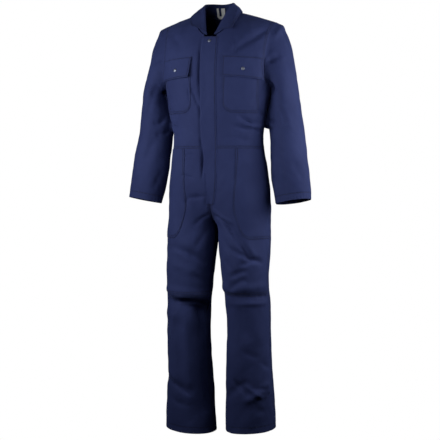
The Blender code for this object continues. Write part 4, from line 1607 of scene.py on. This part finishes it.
class Assembly:
    """A group of pieces that are made and sewn together."""

    name = "assembly"

    def __init__(self) -> None:
        """Starts with no pieces."""
        self.pieces: list[Cloth] = []

    def add(
        self, name: str, cloth: tuple[Grid, Grid], edges: tuple[Edge, ...], **more: object
    ) -> None:
        """Adds one piece.

        Args:
            name: its name.
            cloth: its points and their outward directions.
            edges: how it is sewn.
            **more: its wall, and whether it closes on itself.
        """
        self.pieces.append(Cloth(name, *cloth, edges, **more))

    def build(self, cloth: bpy.types.Material, thread: bpy.types.Material) -> None:
        """Makes every piece and its stitches.

        Args:
            cloth: the finish of its cloth.
            thread: the finish of its thread.
        """
        stitching = Stitching(f"{self.name}_stitching")
        for piece in self.pieces:
            made = piece.build(cloth)
            stitching.sew(piece)
        stitching.build(thread)
        log.info("built the %s from %d pieces", self.name, len(self.pieces))


@dataclass
class Bodice(Assembly):
    """Two fronts, the right one running under the fastening, and a one-piece back."""

    relief: dict[int, TrunkRelief]
    underlap_x: float = 0.024
    armhole_sewn: float = 0.52
    neck_columns: int = 26
    shoulder_columns: int = 46
    arm_rows: int = 58
    side_rows: int = 52
    name = "bodice"

    def __post_init__(self) -> None:
        """Lays out the three panels."""
        super().__init__()
        sewn = sew("foot", Sewn.TWIN, 0.0004) + sew("end", Sewn.TWIN, 0.0005)
        grid = self._grid("front", self.underlap_x)
        for half, side in SIDES:
            cloth = self.relief[half].cloth(grid[..., 0], grid[..., 1])
            self.add(f"front_{side}", cloth, sewn)
        grid = self._grid("back", 0.0)
        sides = [self.relief[half].cloth(grid[..., 0], grid[..., 1]) for half in (RIGHT, LEFT)]
        (right, right_normals), (left, left_normals) = sides
        points = np.concatenate([left[:, ::-1], right[:, 1:]], axis=1)
        normals = np.concatenate([left_normals[:, ::-1], right_normals[:, 1:]], axis=1)
        tip = (self.shoulder_columns - 1) / (points.shape[1] - 1)
        edges = (
            *sew("foot", Sewn.TWIN, 0.0004),
            Edge("top", Sewn.TWIN, 0.0, tip),
            Edge("top", Sewn.TWIN, 1 - tip, 1.0),
            Edge("start", Sewn.TWIN, 0.0, self.armhole_sewn, 0.0005),
            Edge("end", Sewn.TWIN, 0.0, self.armhole_sewn, 0.0005),
        )
        self.add("back", (points, normals), edges)

    def _armhole(self, side: str) -> Grid:
        """Places down the armhole, from the shoulder tip to the underarm.

        Args:
            side: front or back.

        Returns:
            Row numbers and bearings.
        """
        rows = np.linspace(0, len(ARMHOLE["level"]) - 1, self.arm_rows)
        place = FORM.place_of(smooth(ARMHOLE["level"], rows))
        widest = smooth(TRUNK["side"], place)
        x = np.minimum(smooth(ARMHOLE[side + "_x"], rows), widest)
        x[-1] = widest[-1]
        bearing = FORM.bearing_at(place, x)
        return np.stack([place, bearing if side == "front" else -bearing], axis=-1)

    def _grid(self, side: str, from_x: float) -> Grid:
        """Lays out half a bodice panel, its neckline first.

        Args:
            side: front or back.
            from_x: where its middle edge is.

        Returns:
            Row numbers and bearings.
        """
        sign = 1 if side == "front" else -1
        neck = neckline(side, from_x, self.neck_columns)
        shoulder_x = np.linspace(NECK_HALF_WIDTH, SHOULDER_TIP_X, self.shoulder_columns)
        bearing = sign * FORM.bearing_at(0 * shoulder_x, shoulder_x)
        shoulder = np.stack([0 * shoulder_x, bearing], axis=-1)
        top = np.concatenate([neck, shoulder[1:]])
        arm = self._armhole(side)
        side_places = np.linspace(arm[-1, 0], FORM.place_of(WAIST), self.side_rows)
        end = np.concatenate([arm, np.stack([side_places, 0 * side_places], axis=-1)[1:]])
        middle = np.linspace(top[0, 0], FORM.place_of(WAIST), len(end))
        start = np.stack([middle, sign * FORM.bearing_at(middle, from_x)], axis=-1)
        foot_bearing = start[-1, 1] * (1 - np.linspace(0, 1, len(top)))
        foot = np.stack([np.full(len(top), start[-1, 0]), foot_bearing], axis=-1)
        return coons(top, foot, start, end)


def neck_places(side: str, angle: Grid) -> Grid:
    """Places at angles round the neckline from its middle.

    Args:
        side: front or back.
        angle: the angles in radians.

    Returns:
        Row numbers and bearings.
    """
    front = side == "front"
    lowest = FRONT_NECK_LEVEL if front else BACK_NECK_LEVEL
    place = FORM.place_of(RIDGE + (lowest - RIDGE) * np.cos(angle))
    bearing = FORM.bearing_at(place, NECK_HALF_WIDTH * np.sin(angle))
    return np.stack([place, bearing if front else -bearing], axis=-1)


def neckline(side: str, from_x: float, count: int, steps: int = 60) -> Grid:
    """Evenly spaced places round the neckline.

    Args:
        side: front or back.
        from_x: how near the middle it begins.
        count: how many.
        steps: how many angles it is measured at.

    Returns:
        Row numbers and bearings up to the shoulder.
    """
    angle = np.linspace(math.asin(from_x / NECK_HALF_WIDTH), math.pi / 2, steps)
    run = run_lengths(FORM.points(*neck_places(side, angle).T))
    return neck_places(side, np.interp(np.linspace(0, run[-1], count), run, angle))


def front_cloth(
    relief: dict[int, TrunkRelief], x: Grid, level: Grid, lift: Grid
) -> tuple[Grid, Grid]:
    """Places cloth across the front, at signed distances from the middle line.

    Args:
        relief: the folded cloth of both halves.
        x: the distances, positive to the wearer's left.
        level: the levels.
        lift: how far above the suit's own cloth it lies.

    Returns:
        The points and their outward directions.
    """
    x, level, lift = np.broadcast_arrays(x, level, lift)
    place = FORM.place_of(level)
    bearing = FORM.bearing_at(place, np.abs(x))
    left, right = (relief[half].cloth(place, bearing, lift) for half in (LEFT, RIGHT))
    on_right = (x < 0)[..., None]
    return np.where(on_right, right[0], left[0]), np.where(on_right, right[1], left[1])


@dataclass
class Fastening(Assembly):
    """The concealed front: the placket on the bodice and the fly below the waist seam."""

    relief: dict[int, TrunkRelief]
    half_width: float = 0.032
    top: float = -0.0965
    fly_foot: float = -0.715
    fly_foot_free: float = 0.012
    fly_foot_sewn: float = 0.016
    fly_curve: float = 4.0
    free_lift: float = 0.0034
    free_reach: float = 0.5
    sewn_sink: float = 0.0012
    sewn_power: int = 6
    columns: int = 22
    placket_rows: int = 104
    fly_rows: int = 56
    name = "fastening"

    def __post_init__(self) -> None:
        """Lays out the two pieces."""
        super().__init__()
        share = edge_share(self.columns)[None] * 2 - 1
        free = np.exp(-(((share + 1) / self.free_reach) ** 2)) * self.free_lift
        lift = LAYER_LIFT + free - self.sewn_sink * np.clip(share, 0, 1) ** self.sewn_power
        level = np.linspace(self.top, WAIST, self.placket_rows)[:, None]
        x = share * self.half_width
        edges = sew("end", Sewn.SINGLE, 0.0002) + sew("top", Sewn.CLOSE)
        self.add("placket", front_cloth(self.relief, x, level, lift), edges)
        level = np.linspace(WAIST, self.fly_foot, self.fly_rows)[:, None]
        down = (WAIST - level) / (WAIST - self.fly_foot)
        left_side = self.half_width + (self.fly_foot_free - self.half_width) * down
        sewn_gain = (self.fly_foot_sewn - self.half_width) * down**self.fly_curve
        x = share * np.where(share < 0, left_side, self.half_width + sewn_gain)
        edges = sew("end", Sewn.SINGLE, 0.0002) + sew("foot", Sewn.CLOSE)
        self.add("fly", front_cloth(self.relief, x, level, lift), edges)


@dataclass
class Legs(Assembly):
    """Leg fronts cut across at the knee, and backs from waist to hem."""

    relief: dict[int, TrunkRelief]
    crotch_height: float = 0.085
    crotch_power: float = 1.3
    hip_rows: int = 46
    crotch_rows: int = 24
    thigh_rows: int = 62
    shin_rows: int = 122
    columns: int = 62
    hem_turn: float = 0.025
    name = "legs"

    def __post_init__(self) -> None:
        """Lays out the six panels."""
        super().__init__()
        above = np.linspace(WAIST, FORK + self.crotch_height, self.hip_rows)
        near_fork = np.linspace(1, 0, self.crotch_rows)[1:] ** self.crotch_power
        thigh = np.linspace(FORK, KNEE_SEAM, self.thigh_rows)[1:]
        upper = np.concatenate([above, FORK + self.crotch_height * near_fork, thigh])
        lower = np.linspace(KNEE_SEAM, HEM, self.shin_rows)
        whole = np.concatenate([upper, lower[1:]])
        sides = sew("end start", Sewn.TWIN, 0.0006)
        hem = sew("foot", Sewn.HEM, 0.0010)
        for half, side in SIDES:
            edges = sides + sew("foot", Sewn.TWIN, 0.0006)
            self.add(f"leg_front_{side}_upper", self._panel(half, upper, 1), edges)
            edges = sides + hem + sew("top", Sewn.SINGLE)
            wall = self._wall(lower)
            self.add(f"leg_front_{side}_lower", self._panel(half, lower, 1), edges, wall=wall)
            edges = hem + (sides[1:] if half == LEFT else ())
            wall = self._wall(whole)
            self.add(f"leg_back_{side}", self._panel(half, whole, -1), edges, wall=wall)

    def _panel(self, half: int, levels: Grid, front: int) -> tuple[Grid, Grid]:
        """Places one panel from its middle or inseam edge to the side seam.

        Args:
            half: which leg.
            levels: the rows' levels.
            front: 1 for a front and -1 for a back.

        Returns:
            The points and their outward directions.
        """
        place = FORM.place_of(levels)[:, None]
        inner = FORM.bearing_at(place, FORK_GAP)
        share = 1 - edge_share(self.columns)[None]
        return self.relief[half].cloth(place, inner * share * front)

    def _wall(self, levels: Grid) -> Grid:
        """Doubles the wall over the turned hem.

        Args:
            levels: the rows' levels.

        Returns:
            The wall at each row, as a column.
        """
        return CLOTH * (1 + (levels < HEM + self.hem_turn))[:, None]


@dataclass
class Sleeves(Assembly):
    """One-piece set-in sleeves, hanging just clear of the body."""

    relief: dict[int, TrunkRelief]
    body: list[Cloth]
    clearance: float = 0.0016
    seam_rows: int = 4
    hem_turn: float = 0.025
    name = "sleeves"

    def __post_init__(self) -> None:
        """Lofts both sleeves and holds them off the body."""
        super().__init__()
        for half, side in SIDES:
            points, normals = SleeveForm(self.relief[half]).cloth()
            held = hold_off(points[self.seam_rows :], self.body, self.clearance)
            points = np.concatenate([points[: self.seam_rows], held])
            run = run_lengths(points)
            wall = CLOTH * (1 + (run[-1] - run < self.hem_turn))
            edges = sew("foot", Sewn.HEM, 0.0012) + sew("top", Sewn.PLAIN, 0.0008)
            self.add(f"sleeve_{side}", (points, normals), edges, closed=True, wall=wall)


@dataclass
class Collar(Assembly):
    """A stand round the neck and a fall that turns down over it."""

    relief: dict[int, TrunkRelief]
    body: list[Cloth]
    front_x: float = 0.012
    columns: int = 84
    stand_rows: int = 14
    fall_rows: int = 28
    stand_clearance: float = 0.0042
    fall_clearance: float = 0.0022
    bulge: float = 0.0045
    roll: float = 0.0045
    roll_from: float = 0.05
    roll_to: float = 0.16
    over_body: float = 0.0036
    name = "collar"

    def __post_init__(self) -> None:
        """Lays out the stand and the fall over both halves."""
        super().__init__()
        halves = {half: self._lines(half) for half in (RIGHT, LEFT)}
        seam, fold, edge = (self._whole(halves, which) for which in range(3))
        share = np.linspace(1, 0, self.stand_rows)[:, None, None]
        up = unit(fold - seam)
        foot, top = seam + up * self.stand_clearance, fold - up * self.fall_clearance
        points = (1 - share) * foot + share * top
        cloth = points, grid_normal(points, False)
        self.add("collar_stand", cloth, sew("foot", Sewn.PLAIN), wall=COLLAR_CLOTH)
        share = edge_share(self.fall_rows)[:, None, None]
        away = unit((edge - fold) * (1, 1, 0))
        raised = unit(away + (0, 0, 1))
        rolled = np.exp(-((share / self.roll_to) ** 2)) - np.exp(-((share / self.roll_from) ** 2))
        bulge = np.sin(np.pi * share) * self.bulge * raised
        top = fold + away * self.fall_clearance
        points = (1 - share) * top + share * edge + bulge
        points = points + self.roll * rolled * raised
        points = points + grid_normal(points, False) * COLLAR_CLOTH
        points = hold_off(points, self.body, self.over_body)
        cloth = points, grid_normal(points, False)
        self.add("collar_fall", cloth, sew("foot start end", Sewn.SINGLE), wall=COLLAR_CLOTH)

    def _whole(self, halves: dict[int, tuple[Grid, Grid, Grid]], which: int) -> Grid:
        """Joins one line of both halves at the middle of the back.

        Args:
            halves: the seam, fold and edge of each half.
            which: 0, 1 or 2 for the seam, the fold or the edge.

        Returns:
            The line from the left front to the right front.
        """
        left, right = halves[LEFT][which], halves[RIGHT][which] * (-1, 1, 1)
        return np.concatenate([left, right[-2::-1]])

    def _lines(self, half: int) -> tuple[Grid, Grid, Grid]:
        """Draws the seam, fold line and fall edge of one half.

        Args:
            half: which half.

        Returns:
            The three lines, with X counted away from the middle.
        """
        front = neckline("front", self.front_x, self.columns)
        back = neckline("back", 0.0, self.columns)[::-1]
        places = np.concatenate([front, back[1:]])
        points = self.relief[half].cloth(places[:, 0], places[:, 1])[0] * (half, 1, 1)
        run = run_lengths(points)
        even = np.linspace(0, run[-1], self.columns)
        seam = read_line(points, run, even)
        rows = np.linspace(0, len(COLLAR[half]["fold_x"]) - 1, self.columns)
        columns = {}
        for name, values in COLLAR[half].items():
            beyond = -values[-2] if name.endswith("_x") else values[-2]
            columns[name] = smooth(np.append(values, beyond), rows)
        fold, edge = (
            np.stack([columns[f"{line}_{axis}"] for axis in "xyz"], axis=-1)
            for line in ("fold", "edge")
        )
        return seam, fold, edge


def between(pair: tuple[float, float], part: Grid) -> Grid:
    """Reads a straight change between two values.

    Args:
        pair: the values at 0 and at 1.
        part: where to read.

    Returns:
        The values there.
    """
    return pair[0] + (pair[1] - pair[0]) * part


def corner_rise(distance: Grid, width: float, height: float) -> Grid:
    """How far a rounded corner lifts a pocket's foot.

    Args:
        distance: distances from the pocket's inner edge.
        width: how wide the corner is.
        height: how high it is.

    Returns:
        The lifts.
    """
    inside = np.clip(1 - distance / width, 0, 1)
    return height * (1 - np.sqrt(1 - inside**2))


@dataclass
class Pockets(Assembly):
    """Chest patch pockets with flaps over them, and long hip pockets."""

    relief: dict[int, TrunkRelief]
    chest_top: float = -0.176
    chest_foot: float = -0.376
    chest_in: tuple[float, float] = (0.0700, 0.0580)
    chest_out: tuple[float, float] = (0.1880, 0.1740)
    chest_width: float = 0.150
    chest_corner: tuple[float, float] = (0.038, 0.036)
    flap_top: float = -0.168
    flap_foot: float = -0.241
    flap_side_slope: float = 0.012
    flap_in: tuple[float, float] = (0.0660, 0.0555)
    flap_in_slope: tuple[float, float] = (0.0080, 0.0000)
    flap_curl: tuple[float, float] = (0.0075, 0.0010)
    flap_out: tuple[float, float] = (0.1915, 0.1930)
    flap_flare: float = 0.0060
    hip_foot: float = -0.843
    hip_in: tuple[float, float] = (0.0990, 0.1150)
    hip_width: float = 0.150
    hip_corner: tuple[float, float] = (0.040, 0.066)
    edge_drop: float = 0.0009
    edge_reach: float = 0.03
    curl_reach: float = 0.16
    wave: float = 0.25
    waves: int = 9
    flap_wall: float = 0.0020
    across: int = 44
    hip_across: int = 46
    chest_rows: int = 54
    flap_rows: int = 24
    hip_rows: int = 86
    name = "pockets"

    def __post_init__(self) -> None:
        """Lays out the six pieces."""
        super().__init__()
        for half, side in SIDES:
            self._chest(half, side)
            self._flap(half, side)
            self._hip(half, side)

    def _lift(self, share: Grid, down: Grid) -> Grid:
        """Sinks a pocket's edges, where they are sewn down.

        Args:
            share: shares across.
            down: shares down.

        Returns:
            The lift of each point.
        """
        near = np.minimum(np.minimum(share, 1 - share), 1 - down)
        return LAYER_LIFT - self.edge_drop * np.exp(-((near / self.edge_reach) ** 2))

    def _chest(self, half: int, side: str) -> None:
        """Lays out one chest pocket.

        Args:
            half: which half.
            side: its word in the piece's name.
        """
        share = edge_share(self.across)[None]
        down = edge_share(self.chest_rows, both=False)[:, None]
        outer = between(self.chest_out, down)
        corner = corner_rise(share * self.chest_width, *self.chest_corner)
        place = FORM.place_of(self.chest_top + (self.chest_foot + corner - self.chest_top) * down)
        inner = FORM.bearing_at(place, self.chest_in[half == LEFT])
        outer = FORM.bearing_at(place, outer)
        bearing = inner + (outer - inner) * share
        cloth = self.relief[half].cloth(place, bearing, self._lift(share, down))
        self.add(f"chest_pocket_{side}", cloth, sew("start foot end", Sewn.TWIN))

    def _flap(self, half: int, side: str) -> None:
        """Lays out one flap.

        Args:
            half: which half.
            side: its word in the piece's name.
        """
        share, down = edge_share(self.across)[None], edge_share(self.flap_rows)[:, None]
        outer = between(self.flap_out, down)
        fall = self.flap_foot - self.flap_side_slope * share - self.flap_top
        place = FORM.place_of(self.flap_top + fall * down)
        which = half == LEFT
        inner = self.flap_in[which] + self.flap_in_slope[which] * down
        inner, outer = FORM.bearing_at(place, inner), FORM.bearing_at(place, outer)
        bearing = inner + (outer - inner) * share
        wave = 1 - self.wave + self.wave * np.sin(self.waves * share + half)
        curl = self.flap_curl[which] * np.exp(-((share / self.curl_reach) ** 2)) * down
        lift = 2 * LAYER_LIFT + self.flap_flare * down**3 * wave + curl
        cloth = self.relief[half].cloth(place, bearing, lift)
        edges = sew("top", Sewn.CLOSE, 0.0002) + sew("start foot end", Sewn.SINGLE, 0.0002)
        self.add(f"chest_flap_{side}", cloth, edges, wall=self.flap_wall)

    def _hip(self, half: int, side: str) -> None:
        """Lays out one hip pocket.

        Args:
            half: which half.
            side: its word in the piece's name.
        """
        share = edge_share(self.hip_across)[None]
        down = edge_share(self.hip_rows, both=False)[:, None]
        inner = between(self.hip_in, down)
        straight = FORM.place_of(WAIST + (self.hip_foot - WAIST) * down)
        bearing = FORM.bearing_at(straight, inner) * (1 - share)
        corner = corner_rise(share * self.hip_width, *self.hip_corner)
        place = FORM.place_of(WAIST + (self.hip_foot + corner - WAIST) * down)
        # its outer edge is caught in the side seam, so only the inner one is sewn down
        lift = self._lift(np.minimum(share, 0.5), down)
        cloth = self.relief[half].cloth(place, bearing, lift)
        edges = sew("start", Sewn.TWIN) + sew("foot", Sewn.TWIN, 0.0004)
        self.add(f"hip_pocket_{side}", cloth, edges)


@dataclass
class Studs:
    """The press stud caps that show: at the neck and on each flap."""

    relief: dict[int, TrunkRelief]
    radius: float = 0.0062
    rim: float = 0.0012
    dome: float = 0.0030
    clearance: float = 0.0005
    neck_level: float = -0.113
    flap_x: float = 0.130
    flap_level: float = -0.214
    flap_flare: float = 0.0012
    dome_share: float = 0.97
    ring_depth: float = 0.00035
    ring_at: float = 0.66
    ring_width: float = 0.06
    sides: int = 48
    steps: int = 12
    rim_steps: int = 6

    def build(self, finish: bpy.types.Material) -> None:
        """Makes the three caps.

        Args:
            finish: the metal's material.
        """
        neck = (LEFT, 0.0, self.neck_level, LAYER_LIFT)
        flap = self.flap_x, self.flap_level, 2 * LAYER_LIFT + self.flap_flare
        for name, seat in (
            ("stud_neck", neck),
            ("stud_flap_right", (RIGHT, *flap)),
            ("stud_flap_left", (LEFT, *flap)),
        ):
            self._cap(name, seat, finish)
            log.info("built %s", name)

    def _profile(self) -> list[tuple[float, float]]:
        """Draws half of a cap's section: a low dome, a dished ring and a rolled rim.

        Returns:
            Radius and height of each point, from the middle to the back.
        """
        profile = []
        for angle in np.linspace(math.pi / 2, 0, self.steps):
            radius = self.radius * self.dome_share * math.cos(angle)
            from_ring = (radius / self.radius - self.ring_at) / self.ring_width
            ring = self.ring_depth * math.exp(-(from_ring**2))
            height = self.rim + (self.dome - self.rim) * math.sin(angle) - ring
            profile.append((radius, height))
        for angle in np.linspace(math.pi / 4, -math.pi / 2, self.rim_steps):
            roll = self.rim / 2
            radius = self.radius - roll + roll * math.cos(angle)
            profile.append((radius, roll + roll * math.sin(angle)))
        return [*profile, (0.0, 0.0)]

    def _cap(self, name: str, seat: tuple, finish: bpy.types.Material) -> None:
        """Makes one cap.

        Args:
            name: the piece's name.
            seat: its half, distance from the middle, level and lift.
            finish: the metal's material.
        """
        half, x, level, lift = seat
        place = FORM.place_of([level])
        bearing = FORM.bearing_at(place, x)
        points, normals = self.relief[half].cloth(place, bearing, lift + self.clearance)
        profile = self._profile()
        angles = np.arange(self.sides) * 2 * math.pi / self.sides
        rings = [
            [(r * math.cos(a), r * math.sin(a), h) for a in angles] for r, h in profile[1:-1]
        ]
        spots = [(0.0, 0.0, profile[0][1])] + [spot for ring in rings for spot in ring]
        spots.append((0.0, 0.0, 0.0))
        faces, last = [], len(spots) - 1
        for side in range(self.sides):
            after = (side + 1) % self.sides
            faces.append((0, 1 + side, 1 + after))
            for ring in range(len(rings) - 1):
                near, far = 1 + ring * self.sides, 1 + (ring + 1) * self.sides
                faces.append((near + side, far + side, far + after, near + after))
            faces.append((last, last - self.sides + after, last - self.sides + side))
        mesh = bpy.data.meshes.new(name)
        mesh.from_pydata(spots, [], faces)
        turn = Vector(normals[0]).to_track_quat("Z", "Y").to_matrix().to_4x4()
        turn.translation = Vector(points[0])
        mesh.transform(turn)
        made = add_piece(f"{name}_cap", mesh, finish)
        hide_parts(name)


@dataclass
class NeckTape:
    """A flat tape folded into a hanging loop inside the back of the neck."""

    collar: Collar
    x: float = -0.013
    top: float = 0.72
    drop: float = 0.55
    rounding: float = 0.15
    spread: float = 0.010
    clearance: float = 0.0056
    widths: tuple[float, ...] = (0.008, 0.009, 0.013, 0.015)
    fold_z: float = 0.0490
    bend_from: float = 0.38
    bend_to: float = 0.62
    width_at: tuple[float, ...] = (0.0, 0.4, 0.6, 1.0)
    steps: int = 70
    columns: int = 6
    reach: int = 30

    def build(self, finish: bpy.types.Material) -> None:
        """Makes the tape.

        Args:
            finish: its material.
        """
        steps = np.linspace(0, 1, self.steps)
        bend = self.bend_from, self.bend_to
        swing = math.pi * np.interp(steps, bend, (0, 1))
        x = self.x - self.spread * np.cos(swing)
        height = self.top - np.interp(steps, (0, *bend, 1), (0, 1, 1, 0)) * self.drop
        height = height - self.rounding * np.sin(swing)
        y = np.array([self._stand_depth(*spot) for spot in zip(x, height)]) - self.clearance
        path = np.stack([x, y, height * self.fold_z], axis=-1)
        along = unit(np.gradient(path, axis=0))
        across = unit(np.cross(along, (0.0, 1.0, 0.0)))
        width = np.interp(steps, self.width_at, self.widths)[:, None]
        share = np.linspace(-0.5, 0.5, self.columns)
        points = np.stack([path + across * width * part for part in share], axis=1)
        tape = Cloth("neck_tape", points, grid_normal(points, False), wall=TAPE, slot="tape")
        made = tape.build(finish)
        wide, long, area = tape.flat()
        log.info("built the neck tape")

    def _stand_depth(self, x: float, height: float) -> float:
        """Finds the back of the collar stand.

        Args:
            x: distance from the middle.
            height: share of the stand's height.

        Returns:
            Its Y there.
        """
        stand = self.collar.pieces[0].points
        middle = stand.shape[1] // 2
        row = min(max((1 - height) * (len(stand) - 1), 0), len(stand) - 1)
        line = stand[round(row), middle : middle + self.reach]
        return float(np.interp(abs(x), np.abs(line[:, 0]), line[:, 1]))


# Softboxes round the suit: degrees from the front, distance, level, width and watts
SOFTBOXES = (
    ("left", -42.0, 1.45, -0.30, 0.7, 14.5),
    ("left_front", -12.0, 1.35, -0.10, 0.7, 4.8),
    ("right_front", 48.0, 1.15, -0.35, 0.7, 1.5),
    ("right", 80.0, 1.20, -0.30, 0.7, 9.0),
    ("right_side", 103.0, 1.90, 0.00, 0.7, 14.0),
    ("back", 205.0, 2.20, -0.10, 0.9, 12.0),
)


def round_suit(angle: float, distance: float, level: float) -> Vector:
    """Finds a place round the suit.

    Args:
        angle: how far round from the front, in radians.
        distance: how far from the middle.
        level: its level.

    Returns:
        The place.
    """
    return Vector((distance * math.sin(angle), -distance * math.cos(angle), level))


@dataclass
class Studio:
    """Camera, lights, floor and backdrop."""

    azimuth: float = 18.10
    distance: float = 3.995
    level: float = -0.568
    tilt: float = 1.806
    lens: float = 85.29
    shift: float = -0.05
    world: float = 0.003
    light_aim: tuple[float, float, float] = (0.0, 0.0, -0.36)
    floor_level: float = -1.64
    floor_radius: float = 5.0
    wall_height: float = 6.0
    wall_sides: int = 64
    wall_steps: int = 12

    def build(self) -> None:
        """Sets up the studio."""
        scene = bpy.context.scene
        scene.view_settings.view_transform = "Standard"
        self._camera(scene)
        for softbox in SOFTBOXES:
            self._softbox(*softbox)
        self._backdrop()
        world = bpy.data.worlds.new("studio")
        world.use_nodes = True
        background = world.node_tree.nodes["Background"]
        background.inputs["Color"].default_value = (1, 1, 1, 1)
        background.inputs["Strength"].default_value = self.world
        scene.world = world

    def _camera(self, scene: bpy.types.Scene) -> None:
        """Places the camera.

        Args:
            scene: the scene.
        """
        camera = bpy.data.objects.new("camera", bpy.data.cameras.new("camera"))
        angle = math.radians(self.azimuth)
        camera.location = round_suit(angle, self.distance, self.level)
        camera.rotation_euler = (math.pi / 2 - math.radians(self.tilt), 0.0, angle)
        camera.data.lens = self.lens
        camera.data.shift_y = self.shift
        scene.collection.objects.link(camera)
        scene.camera = camera

    def _softbox(
        self, name: str, azimuth: float, distance: float, height: float, size: float, power: float
    ) -> None:
        """Adds one square soft light that faces the suit.

        Args:
            name: its name.
            azimuth: where it stands round the suit, in degrees, 0 being in front.
            distance: how far from the middle.
            height: its level.
            size: its width and height.
            power: watts.
        """
        light = bpy.data.lights.new(f"softbox_{name}", "AREA")
        light.shape = "RECTANGLE"
        light.size = light.size_y = size
        light.energy = power
        made = bpy.data.objects.new(light.name, light)
        made.visible_camera = False
        made.location = round_suit(math.radians(azimuth), distance, height)
        aim = Vector(self.light_aim) - made.location
        made.rotation_euler = aim.to_track_quat("-Z", "Y").to_euler()
        bpy.context.scene.collection.objects.link(made)

    def _backdrop(self) -> None:
        """Adds a pale floor that curves up into a backdrop all round."""
        profile = [(0.0, 0.0), (self.floor_radius, 0.0)]
        for angle in np.linspace(0.1, math.pi / 2, self.wall_steps):
            profile.append((self.floor_radius + math.sin(angle), 1 - math.cos(angle)))
        profile.append((self.floor_radius + 1, self.wall_height))
        sides = self.wall_sides
        angles = np.arange(sides) * 2 * math.pi / sides
        spots = [(r * math.cos(a), r * math.sin(a), h) for r, h in profile for a in angles]
        faces = []
        for ring in range(len(profile) - 1):
            for side in range(sides):
                after = (side + 1) % sides
                near, far = ring * sides, (ring + 1) * sides
                faces.append((near + side, near + after, far + after, far + side))
        mesh = bpy.data.meshes.new("backdrop")
        mesh.from_pydata(spots, [], faces)
        mesh.shade_smooth()
        made = bpy.data.objects.new("backdrop", mesh)
        made.location = (0.0, 0.0, self.floor_level)
        paper = bpy.data.materials.new("paper")
        paper.use_nodes = True
        tree = paper.node_tree
        tree.nodes.clear()
        glow = tree.nodes.new("ShaderNodeEmission")
        glow.inputs["Color"].default_value = (1.0, 1.0, 1.0, 1.0)
        out = tree.nodes.new("ShaderNodeOutputMaterial")
        tree.links.new(glow.outputs[0], out.inputs[0])
        mesh.materials.append(paper)
        made.visible_diffuse = made.visible_glossy = made.visible_shadow = False
        bpy.context.scene.collection.objects.link(made)


def main() -> None:
    """Builds the suit on its frame, dresses it and sets up the studio."""
    logging.basicConfig(level=logging.INFO, format="%(message)s")
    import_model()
    relief = {half: TrunkRelief(half) for half in (RIGHT, LEFT)}
    twill, thread = TwillFinish().material(), ThreadFinish().material()
    bodice, legs, pockets = Bodice(relief), Legs(relief), Pockets(relief)
    fastening = Fastening(relief)
    sleeves = Sleeves(relief, bodice.pieces + legs.pieces[:1] + pockets.pieces)
    collar = Collar(relief, bodice.pieces + fastening.pieces)
    for assembly in (bodice, legs, pockets, fastening, sleeves, collar):
        assembly.build(twill, thread)
    Studs(relief).build(StudFinish().material())
    NeckTape(collar).build(TapeFinish().material())
    Studio().build()


if __name__ == "__main__":
    main()
